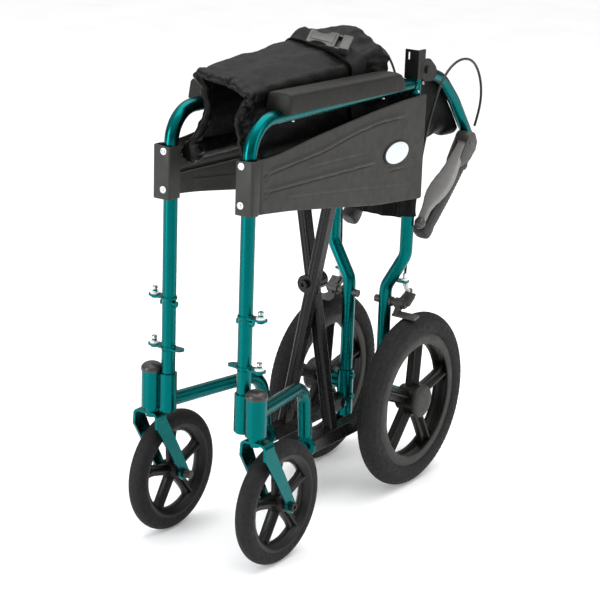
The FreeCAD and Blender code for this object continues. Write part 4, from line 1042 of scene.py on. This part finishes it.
def guard_panel():
    """Side panel with rounded edges, narrower at the front."""
    columns = 290
    rows = 96
    front, rear = -0.3130, 0.1560
    rings = []
    for i in range(columns):
        y = front + (rear - front) * i / (columns - 1)
        low = soft_height(GUARD_LOW, y)
        top = soft_height(GUARD_TOP, y)
        rear_in = max(0.0, y - (rear - 0.006)) / 0.006
        corner = 0.006 * (1.0 - math.sqrt(max(0.0, 1.0 - rear_in ** 2)))
        low += corner
        top -= corner
        half = GUARD_THICK / 2.0 * math.sqrt(max(0.02, 1.0 - max(0.0, (y - (rear - 0.0015)) / 0.0015) ** 2))
        middle = GUARD_OUT - GUARD_THICK / 2.0
        outer, inner = [], []
        for j in range(rows):
            t = j / (rows - 1)
            z = low + 0.0015 + (top - low - 0.003) * t
            relief = guard_relief(y, z)
            outer.append(Vector((middle + half + relief, y, z)))
            inner.append(Vector((middle - half + relief, y, z)))
        rim_top = [Vector((middle + half * math.cos(a) + guard_relief(y, top), y,
                           top - 0.0015 + 0.0015 * math.sin(a)))
                   for a in (math.radians(d) for d in (36, 72, 108, 144))]
        rim_low = [Vector((middle - half * math.cos(a) + guard_relief(y, low), y,
                           low + 0.0015 - 0.0015 * math.sin(a)))
                   for a in (math.radians(d) for d in (36, 72, 108, 144))]
        rings.append(outer + rim_top + inner[::-1] + rim_low)
    points, faces = rings_to_mesh(rings)
    return add_mesh("guard_panel", points, faces, GUARD, 45.0)


def guard_wrap():
    """Moulded channel at the guard's front edge that clips over the front post."""
    outer = []
    corners = [((0.0605, -0.3005), 0.0), ((0.0605, -0.3260), 0.0045), ((0.0935, -0.3260), 0.0060),
               ((0.0935, -0.3085), 0.0045), ((0.0885, -0.3030), 0.0)]
    for k, ((x, y), r) in enumerate(corners):
        if r == 0.0:
            outer.append((x, y))
            continue
        px, py = corners[k - 1][0]
        nx, ny = corners[k + 1][0]
        a = Vector((px - x, py - y)).normalized()
        b = Vector((nx - x, ny - y)).normalized()
        for s in range(7):
            t = s / 6.0
            w0, w1 = (1 - t) ** 2, t ** 2
            outer.append((x + a.x * r * w0 + b.x * r * w1, y + a.y * r * w0 + b.y * r * w1))
    inner = []
    for x, y in reversed(outer):
        cx, cy = POST_X + 0.002, FRONT_Y + 0.002
        away = Vector((x - cx, y - cy))
        scale = (away.length - 0.0026) / away.length
        inner.append((cx + away.x * scale, cy + away.y * scale))
    loop = outer + inner
    rings = []
    low, high = 0.5655, 0.6478
    for z, shrink in ((low, 0.0006), (low + 0.0007, 0.0), (high - 0.0012, 0.0), (high - 0.0004, 0.0004),
                      (high, 0.0012)):
        ring = []
        for x, y in loop:
            away = Vector((x - POST_X, y - FRONT_Y))
            scale = (away.length - shrink) / away.length
            drop = 0.004 * max(0.0, (0.0800 - x) / 0.02) if z > 0.6 else 0.0
            ring.append(Vector((POST_X + away.x * scale, FRONT_Y + away.y * scale, z - drop * 0.4)))
        rings.append(ring)
    points, faces = rings_to_mesh(rings)
    return add_mesh("guard_wrap", points, faces, GUARD, 40.0)


def badge_ring(x, grow, steps):
    """An oval about the badge's middle, grown to a share of its size."""
    return [Vector((x, BADGE_AT[0] + BADGE_HALF[0] * grow * math.cos(a),
                    BADGE_AT[1] + BADGE_HALF[1] * grow * math.sin(a))) for a in turn_angles(steps)]


def guard_badge():
    """Plain white oval badge in a dark rim."""
    steps = 72
    base = GUARD_OUT + 0.0002
    profile = [(0.0, 1.13), (0.0010, 1.13), (0.0019, 1.09), (0.0022, 1.045), (0.0018, 1.0)]
    points, faces = rings_to_mesh([badge_ring(base + x, grow, steps) for x, grow in profile], caps=False)
    rim = add_mesh("rim", points, faces, BLACK_PLASTIC, 50.0)
    sizes = [1.0 - k / 8.5 for k in range(9)]
    dome = [badge_ring(base + 0.0016 + 0.0014 * (1.0 - grow ** 2), grow, steps) for grow in sizes]
    points, faces = rings_to_mesh(dome, caps=False)
    faces.append(tuple(range(len(points) - steps, len(points))))
    return join_pieces("badge", [rim, add_mesh("face", points, faces, BADGE, 60.0)])


def screw_head(name, at, axis, radius, height, washer_radius=0.0):
    """Pan head with a round recess, on an optional pale washer."""
    at, axis = Vector(at), Vector(axis).normalized()
    side = axis.orthogonal().normalized()
    up = axis.cross(side)
    parts = []

    def disc(label, profile, material):
        rings = [[at + axis * h + (side * math.cos(a) + up * math.sin(a)) * r for a in turn_angles(32)]
                 for h, r in profile]
        points, faces = rings_to_mesh(rings)
        parts.append(add_mesh(label, points, faces, material, 40.0))

    base = 0.0
    if washer_radius:
        disc("washer", [(0.0, washer_radius), (0.0012, washer_radius), (0.0018, washer_radius * 0.9)], WASHER)
        base = 0.0016
    shape = [(0.0, 1.0), (0.35, 1.0), (0.75, 0.88), (1.0, 0.5), (0.98, 0.30), (0.45, 0.24)]
    disc("head", [(base + height * h, radius * r) for h, r in shape], ZINC)
    return join_pieces(name, parts)


def turned(name, at, profile, material, count=32):
    """A piece turned about an upright axis, drawn in (height, radius) from its foot."""
    rings = [[Vector((at[0] + r * math.cos(a), at[1] + r * math.sin(a),
                      at[2] + h)) for a in turn_angles(count)]
             for h, r in profile]
    points, faces = rings_to_mesh(rings)
    return add_mesh(name, points, faces, material, 40.0)


def footrest_pins():
    """Bright pins with pale washers on the hanger plates."""
    parts = []
    for z in (0.409, 0.329):
        at = (0.101, FRONT_Y, z)
        parts.append(turned("washer", at, [(0.0001, 0.0074), (0.0018, 0.0074), (0.0022, 0.0068),
                                           (0.0022, 0.0044)], WASHER))
        parts.append(turned("pin", at, [(0.0016, 0.0042), (0.0040, 0.0042), (0.0044, 0.0036),
                                        (0.0070, 0.0036), (0.0074, 0.0043), (0.0108, 0.0043),
                                        (0.0121, 0.0034), (0.0123, 0.0010)], ZINC))
    return join_pieces("pins", parts)


def brake_fittings():
    """Cable adjuster on the post's tab, and the return spring from it down to the brake arm's lug."""
    x, y, _ = CABLE_ROUTE[-1]
    top, foot = Vector((x, y, 0.3555)), Vector((0.0680, 0.1660, 0.3375))
    parts = [turned("nut", (x, y, 0.3592), [(0.0, 0.0056), (0.0034, 0.0056), (0.0040, 0.0050)], ZINC, 6),
             turned("screw", (x, y, 0.3630), [(0.0, 0.0034), (0.0088, 0.0034), (0.0096, 0.0026)], ZINC)]
    wire = []
    turns, steps = 8, 16
    across = (foot - top).orthogonal().normalized()
    beside = (foot - top).normalized().cross(across)
    for k in range(turns * steps + 1):
        a = 2.0 * math.pi * k / steps
        wire.append(top.lerp(foot,
                             k / (turns * steps)) + (across * math.cos(a) + beside * math.sin(a)) * 0.0036)
    parts.append(sweep("spring", wire, lambda i: circle(0.00065, 8), WASHER))
    parts.append(rod_between("wire", top, foot, 0.0008, ZINC, 10))
    return join_pieces("fittings", parts)


def castor_bolts():
    """Dark socket head outside the fork, and a long nut inside it."""
    centre = CASTOR
    head = [(0.0, 0.0076), (0.0022, 0.0076), (0.0034, 0.0064), (0.0034, 0.0036), (0.0012, 0.0034),
            (0.0012, 0.0002)]
    nut = [(0.0, 0.0076), (-0.0022, 0.0076), (-0.0030, 0.0068), (-0.0090, 0.0068), (-0.0104, 0.0052),
           (-0.0104, 0.0002)]
    outer = lathe("bolt", centre, [(centre.x + 0.0301 + h, r) for h, r in head], BLACK_PLASTIC, 32, False)
    inner = lathe("nut", centre, [(centre.x - 0.0301 + h, r) for h, r in nut], CAP_PLASTIC, 32, False)
    return join_pieces("bolts", [outer, inner])


def brake_plate():
    """Flat bent tail of the brake arm, behind its lug."""
    outline = [(0.1440, 0.3190), (0.1600, 0.3300), (0.1640, 0.3365), (0.1620, 0.3390), (0.1590, 0.3345),
               (0.1435, 0.3235)]
    inner, outer = ([Vector((x, y, z)) for y, z in outline] for x in (0.0640, 0.0860))
    return prism("plate", inner, outer, GREY_METAL, 0.0008, 2)


def build_guards():
    panel = join_pieces("guard", [guard_panel(), guard_wrap()])
    both_sides(panel, "guard_skin", "frame", "guard_plastic", "skirt_guard")
    both_sides(guard_badge(), "badge", "frame", "badge")
    both_sides(footrest_pins(), "footrest_pins", "frame", "zinc_steel")
    both_sides(brake_fittings(), "brake_fittings", "frame", "zinc_steel")
    both_sides(castor_bolts(), "castor_bolts", "castor_swivel", "black_plastic")
    both_sides(brake_plate(), "brake_plate", "wheel_brake", "grey_metal")
    heads = []
    for z in (0.581, 0.6395):
        heads.append(screw_head("head", (0.0722, -0.3260, z), (0, -1, 0), 0.0034, 0.0022, 0.0054))
    heads.append(screw_head("head", (0.0850, REAR_Y + 0.0060, 0.7018), (1, 0, 0.3), 0.0030, 0.0020))
    heads.append(screw_head("head", (0.0895, REAR_Y - 0.0138, 0.6905), (1, 0, 0), 0.0022, 0.0014))
    for y in (-0.2062, 0.0438):
        heads.append(screw_head("head", (POST_X + 0.003, y, ARM_Z - 0.0105), (0.25, 0, -1), 0.0030, 0.0020))
    both_sides(join_pieces("heads", heads), "screw_heads", "frame", "zinc_steel", "frame_screws")


build_guards()


# Arm pads ----------------------------------------------------------------------------------------------

PAD_FRONT = -0.2412
PAD_HALF = 0.0228


def arm_pad():
    """Moulded pad with flat flanks that hug the tube, a crowned top, a crisp front and a sloping rear."""
    edge = 0.0052
    stations = [(0.0, 0.0024, 0.0050), (0.0005, 0.0010, 0.0026), (0.0016, 0.0003, 0.0010),
                (0.0032, 0.0, 0.0002), (0.0070, 0.0, 0.0), (0.06, 0.0, 0.0), (0.16, 0.0, 0.0),
                (0.28, 0.0, 0.0), (0.3070, 0.0, 0.0004), (0.3130, 0.0002, 0.0026), (0.3180, 0.0006, 0.0070),
                (0.3218, 0.0012, 0.0135), (0.3240, 0.0020, 0.0190), (0.3250, 0.0034, 0.0240)]
    rings = []
    for place, shrink, drop in stations:
        t = place / 0.325
        y = PAD_FRONT + place
        low = 0.7055 - 0.0055 * t
        h = 0.7352 - 0.0068 * t - drop
        w = PAD_HALF - shrink
        ring = [(-w + 0.002, low), (-w + 0.0004, low + 0.0006), (-w, low + 0.0024)]
        for degrees in range(0, 91, 15):
            a = math.radians(degrees)
            ring.append((-w + 0.0016 + edge - edge * math.cos(a), h - edge + edge * math.sin(a)))
        for u in (-0.6, -0.3, 0.0, 0.3, 0.6):
            ring.append((u * w, h + 0.0012 * (1.0 - u * u)))
        for degrees in range(90, -1, -15):
            a = math.radians(degrees)
            ring.append((w - 0.0016 - edge + edge * math.cos(a), h - edge + edge * math.sin(a)))
        ring += [(w, low + 0.0024), (w - 0.0004, low + 0.0006), (w - 0.002, low)]
        lean = 0.0035 if place < 0.02 else 0.0
        rings.append([Vector((POST_X + x, y + lean * (z - low) / 0.03, z)) for x, z in ring])
    points, faces = rings_to_mesh(rings)
    return add_mesh("pad", points, faces, PAD, 50.0)


def build_pads():
    both_sides(arm_pad(), "pad_skin", "frame", "pad_plastic", "arm_pad")


build_pads()


# Push handles, grips and brake levers ------------------------------------------------------------------

HANDLE_LINE = Vector((0.0, HANDLE_END.y - HANDLE_CORNER.y, HANDLE_END.z - HANDLE_CORNER.z))
ALONG = HANDLE_LINE.normalized()
ACROSS = Vector((0.0, ALONG.z, -ALONG.y))
LEVER_X = POST_X + 0.0185
HOOD_X = POST_X + 0.0105


def on_handle(x, run, rise):
    """A point beside the push handle, in millimetres along it and away from it toward the lever."""
    return Vector((x, HANDLE_CORNER.y, HANDLE_CORNER.z)) + ALONG * (run / 1000.0) + ACROSS * (rise / 1000.0)


def superellipse(half_a, half_b, power, count):
    """Points of an oval that grows squarer with its power; 2 is an ellipse."""
    out = []
    for t in turn_angles(count):
        c, s = math.cos(t), math.sin(t)
        out.append((math.copysign(abs(c) ** (2.0 / power), c) * half_a,
                    math.copysign(abs(s) ** (2.0 / power), s) * half_b))
    return out


def push_grip():
    """Moulded grip with a collar, a flat on its back, shallow ribs and a closed end."""
    stations = [(46.0, 10.4, 10.4, 2.0), (46.2, 16.2, 16.2, 2.2), (47.2, 17.3, 17.3, 2.2),
                (52.0, 17.3, 17.3, 2.2), (53.4, 16.2, 16.2, 2.4), (54.6, 14.2, 14.4, 2.8)]
    for k in range(36):
        run = 58.0 + 3.55 * k
        rib = 0.35 if k % 2 else -0.25
        swell = 0.9 * math.sin(math.pi * (run - 58.0) / 125.0)
        stations.append((run, 13.6 + swell + rib, 13.9 + swell + rib, 3.0))
    stations += [(187.0, 14.6, 14.8, 3.2), (195.0, 14.9, 15.0, 3.2), (201.0, 14.6, 14.8, 3.0),
                 (203.6, 13.4, 13.8, 2.8), (204.8, 11.4, 12.0, 2.6), (205.2, 8.0, 8.4, 2.4)]
    rings = []
    for run, half_x, half_rise, power in stations:
        rings.append([on_handle(POST_X + a / 1000.0, run, b) for a,
                      b in superellipse(half_x, half_rise, power, 40)])
    points, faces = rings_to_mesh(rings)
    return add_mesh("grip", points, faces, GRIP, 35.0)


def interpolate(table, x):
    """Smoothly reads rows of (x, values...) at x."""
    for low, high in zip(table, table[1:]):
        if x <= high[0]:
            t = (x - low[0]) / (high[0] - low[0])
            t = 0.5 * t + 0.5 * ease(t)
            return [a + (b - a) * t for a, b in zip(low[1:], high[1:])]
    return list(table[-1][1:])


LEVER_SHAPE = [(14.0, 31.5, 8.4, 6.0), (36.0, 33.2, 8.8, 6.0), (56.0, 32.8, 10.8, 5.4),
               (76.0, 33.0, 13.0, 5.0), (94.0, 34.8, 15.4, 5.2), (112.0, 38.6, 18.0, 5.6),
               (128.0, 42.4, 18.9, 5.8), (144.0, 45.2, 18.2, 5.6), (158.0, 47.0, 15.0, 5.2),
               (170.0, 48.0, 11.0, 4.8), (182.0, 48.0, 8.3, 4.4), (203.0, 45.8, 7.6, 4.2)]


def lever_middle(run):
    """The lever starts close beside the tube and runs slightly outward to its end."""
    return HOOD_X + (LEVER_X - 0.0010 - HOOD_X) * ease((run - 20.0) / 135.0)


def brake_lever():
    """Leaf-shaped lever pressed to a shallow channel, with a thick round end."""
    rings = []
    steps = 96
    first, last = LEVER_SHAPE[0][0], LEVER_SHAPE[-1][0]
    for i in range(steps + 1):
        run = first + (last - first) * i / steps
        rise, half, lip = interpolate(LEVER_SHAPE, run)
        crown = 0.06 * half
        top = 1.7
        section = [(-half, -lip), (-half, 0.2), (-half + 0.7, top - 0.6), (-half + 2.2, top)]
        section += [(half * t, top + crown * (1.0 - t * t)) for t in (-0.7, -0.35, 0.0, 0.35, 0.7)]
        section += [(half - 2.2, top), (half - 0.7, top - 0.6), (half, 0.2), (half, -lip), (half - 1.7, -lip),
                    (half - 1.8, -0.9), (0.0, -0.9 + crown), (-half + 1.8, -0.9), (-half + 1.7, -lip)]
        middle = lever_middle(run)
        rings.append([on_handle(middle + a / 1000.0, run, rise + b) for a, b in section])
    points, faces = rings_to_mesh(rings)
    blade = add_mesh("blade", points, faces, LEVER, 35.0)
    ball_rings = []
    for k in range(1, 18):
        t = math.pi * k / 18
        h = math.copysign(abs(math.cos(t)) ** 0.8, -math.cos(t))
        r = math.sin(t) ** 0.62
        ball_rings.append([on_handle(LEVER_X + 8.8 * r * math.cos(a) / 1000.0, 209.0 + 10.0 * r * math.sin(a),
                                     45.6 + 8.4 * h) for a in turn_angles(28)])
    points, faces = rings_to_mesh(ball_rings)
    ball = add_mesh("ball", points, faces, HOOD, 50.0)
    eye = rod_between("eye", on_handle(HOOD_X - 0.0082, 25.0, 31.0), on_handle(HOOD_X + 0.0082, 25.0, 31.0),
                      0.0068, LEVER, 32)
    return join_pieces("lever", [blade, ball, eye])


def side_plate(name, outline, x_low, x_high, material, round_by):
    """A flat plate drawn in (run, rise) millimetres beside the handle."""
    inner, outer = ([on_handle(x, run, rise) for run, rise in outline] for x in (x_low, x_high))
    return prism(name, inner, outer, material, round_by, 3)


def arc_points(centre, radius, start, end, steps):
    """Points of an arc from start to end, in degrees."""
    angles = [math.radians(start + (end - start) * k / steps) for k in range(steps + 1)]
    return [(centre[0] + radius * math.cos(a), centre[1] + radius * math.sin(a)) for a in angles]


def lever_hood():
    """Moulded lever housing: sleeve on the tube, two long slim cheeks, a rounded end and an adjuster."""
    cheek = arc_points((18.0, 29.0), 14.0, 60.0, 200.0, 14) + [(8.0, 12.0), (20.0, 5.0), (44.0, 6.0),
                                                               (60.0, 15.0), (72.0, 22.0), (73.0, 27.5),
                                                               (66.0, 33.0), (44.0, 38.0)]
    parts = [side_plate("cheek", cheek, HOOD_X - 0.0136, HOOD_X - 0.0106, HOOD, 0.0011),
             side_plate("cheek", cheek, HOOD_X + 0.0106, HOOD_X + 0.0136, HOOD, 0.0011)]
    cap = arc_points((18.0, 29.0), 14.0, 40.0, 200.0, 18) + arc_points((18.0, 29.0), 11.0, 200.0, 40.0, 18)
    parts.append(side_plate("cap", cap, HOOD_X - 0.0114, HOOD_X + 0.0114, HOOD, 0.0006))
    floor = [(10.0, 10.0), (62.0, 17.0), (62.0, 19.5), (12.0, 15.0)]
    parts.append(side_plate("floor", floor, HOOD_X - 0.0112, HOOD_X + 0.0112, BLACK_PLASTIC, 0.0006))
    rings = []
    for run, r in ((16.0, 13.2), (17.0, 14.8), (19.0, 15.3), (42.0, 15.3), (43.4, 14.8), (44.0, 13.4)):
        rings.append([on_handle(POST_X + a / 1000.0, run, b) for a, b in superellipse(r, r, 2.4, 40)])
    points, faces = rings_to_mesh(rings)
    parts.append(add_mesh("sleeve", points, faces, HOOD, 40.0))
    for x0, x1 in ((HOOD_X + 0.0134, HOOD_X + 0.0142), (HOOD_X - 0.0142, HOOD_X - 0.0134)):
        parts.append(rod_between("pin", on_handle(x0, 25.0, 31.0), on_handle(x1, 25.0, 31.0), 0.0034,
                                 CAP_PLASTIC, 24, 0.0003))
    parts.append(rod_between("adjuster", on_handle(HOOD_X - 0.005, 9.5, 28.0),
                             on_handle(HOOD_X - 0.005, 1.0, 29.0), 0.0042, HOOD, 20, 0.0005))
    parts.append(rod_between("ferrule", on_handle(HOOD_X - 0.005, 2.0, 29.0),
                             on_handle(HOOD_X - 0.005, -6.0, 29.5), 0.0032, BADGE, 20, 0.0005))
    return join_pieces("hood", parts)


def build_handles():
    both_sides(push_grip(), "grip_skin", "back", "grip_rubber", "push_grip")
    both_sides(brake_lever(), "lever_skin", "hand_lever", "lever_plastic", "brake_lever")
    both_sides(lever_hood(), "lever_hood", "back", "lever_plastic", "lever_bracket")


build_handles()


# Stage, light and camera -------------------------------------------------------------------------------

FLOOR_REACH = 16.0
CAMERA_AT = Vector((1.60156, -2.39342, 1.22936))
CAMERA_AZIMUTH = math.radians(34.456)
CAMERA_ELEVATION = math.radians(17.053)
CAMERA_ROLL = math.radians(2.039)
LENS_MM = 109.28


def build_stage():
    floor_mesh = bpy.data.meshes.new("floor")
    reach = FLOOR_REACH
    floor_mesh.from_pydata([(-reach, -reach, 0), (reach, -reach, 0), (reach, reach, 0), (-reach, reach, 0)],
                           [], [(0, 1, 2, 3)])
    floor = bpy.data.objects.new("floor", floor_mesh)
    bpy.context.scene.collection.objects.link(floor)
    material = plain_surface("floor_white", (0.90, 0.90, 0.90), 0.55, vary=0.004, grain=60.0,
                             grain_strength=0.02, patch=0.6)
    glow = next(n for n in material.node_tree.nodes if n.type == "BSDF_PRINCIPLED")
    glow.inputs["Emission Color"].default_value = (1.0, 1.0, 1.0, 1.0)
    glow.inputs["Emission Strength"].default_value = 0.16
    floor_mesh.materials.append(material)


def area_light(name, place, aim, size, power, colour=(1.0, 1.0, 1.0)):
    lamp = bpy.data.lights.new(name, "AREA")
    lamp.shape = "RECTANGLE"
    lamp.size, lamp.size_y = size
    lamp.energy = power
    lamp.color = colour
    holder = bpy.data.objects.new(name, lamp)
    bpy.context.scene.collection.objects.link(holder)
    holder.location = place
    holder.rotation_euler = (Vector(aim) - Vector(place)).to_track_quat("-Z", "Y").to_euler()


def build_lights():
    """Soft studio light: a dome that darkens toward the horizon, a tall key at the left front and fills."""
    scene = bpy.context.scene
    scene.view_settings.view_transform = "Standard"
    world = bpy.data.worlds.new("studio")
    scene.world = world
    world.use_nodes = True
    tree = world.node_tree
    background = tree.nodes["Background"]
    place = tree.nodes.new("ShaderNodeTexCoord")
    split = tree.nodes.new("ShaderNodeSeparateXYZ")
    tree.links.new(place.outputs["Generated"], split.inputs["Vector"])
    tone = ramp(tree, split.outputs["Z"], [(0.0, (0.10, 0.10, 0.10)), (0.18, (0.22, 0.22, 0.22)),
                                           (0.5, (0.85, 0.85, 0.85)), (0.8, (1.1, 1.1, 1.1))])
    tree.links.new(tone, background.inputs["Color"])
    background.inputs["Strength"].default_value = 1.0
    aim = (0.0, 0.0, 0.42)
    area_light("key", (-1.0, -2.7, 0.95), aim, (0.9, 1.7), 42.0, (0.97, 1.0, 1.05))
    area_light("fill", (2.6, 0.3, 1.2), aim, (1.0, 1.6), 16.0)
    area_light("top", (0.2, 0.1, 3.0), aim, (3.0, 3.0), 70.0)


def build_camera():
    """Camera at the product view's angle."""
    azimuth, elevation, roll = CAMERA_AZIMUTH, CAMERA_ELEVATION, CAMERA_ROLL
    back = Vector((math.sin(azimuth) * math.cos(elevation), -math.cos(azimuth) * math.cos(elevation),
                   math.sin(elevation)))
    level = Vector((math.cos(azimuth), math.sin(azimuth), 0.0))
    upright = back.cross(level)
    right = level * math.cos(roll) + upright * math.sin(roll)
    up = upright * math.cos(roll) - level * math.sin(roll)
    lens = bpy.data.cameras.new("camera")
    lens.lens = LENS_MM
    lens.sensor_width = 36.0
    holder = bpy.data.objects.new("camera", lens)
    bpy.context.scene.collection.objects.link(holder)
    holder.matrix_world = Matrix.Translation(CAMERA_AT) @ Matrix((right, up, back)).transposed().to_4x4()
    bpy.context.scene.camera = holder


build_stage()
build_lights()
build_camera()
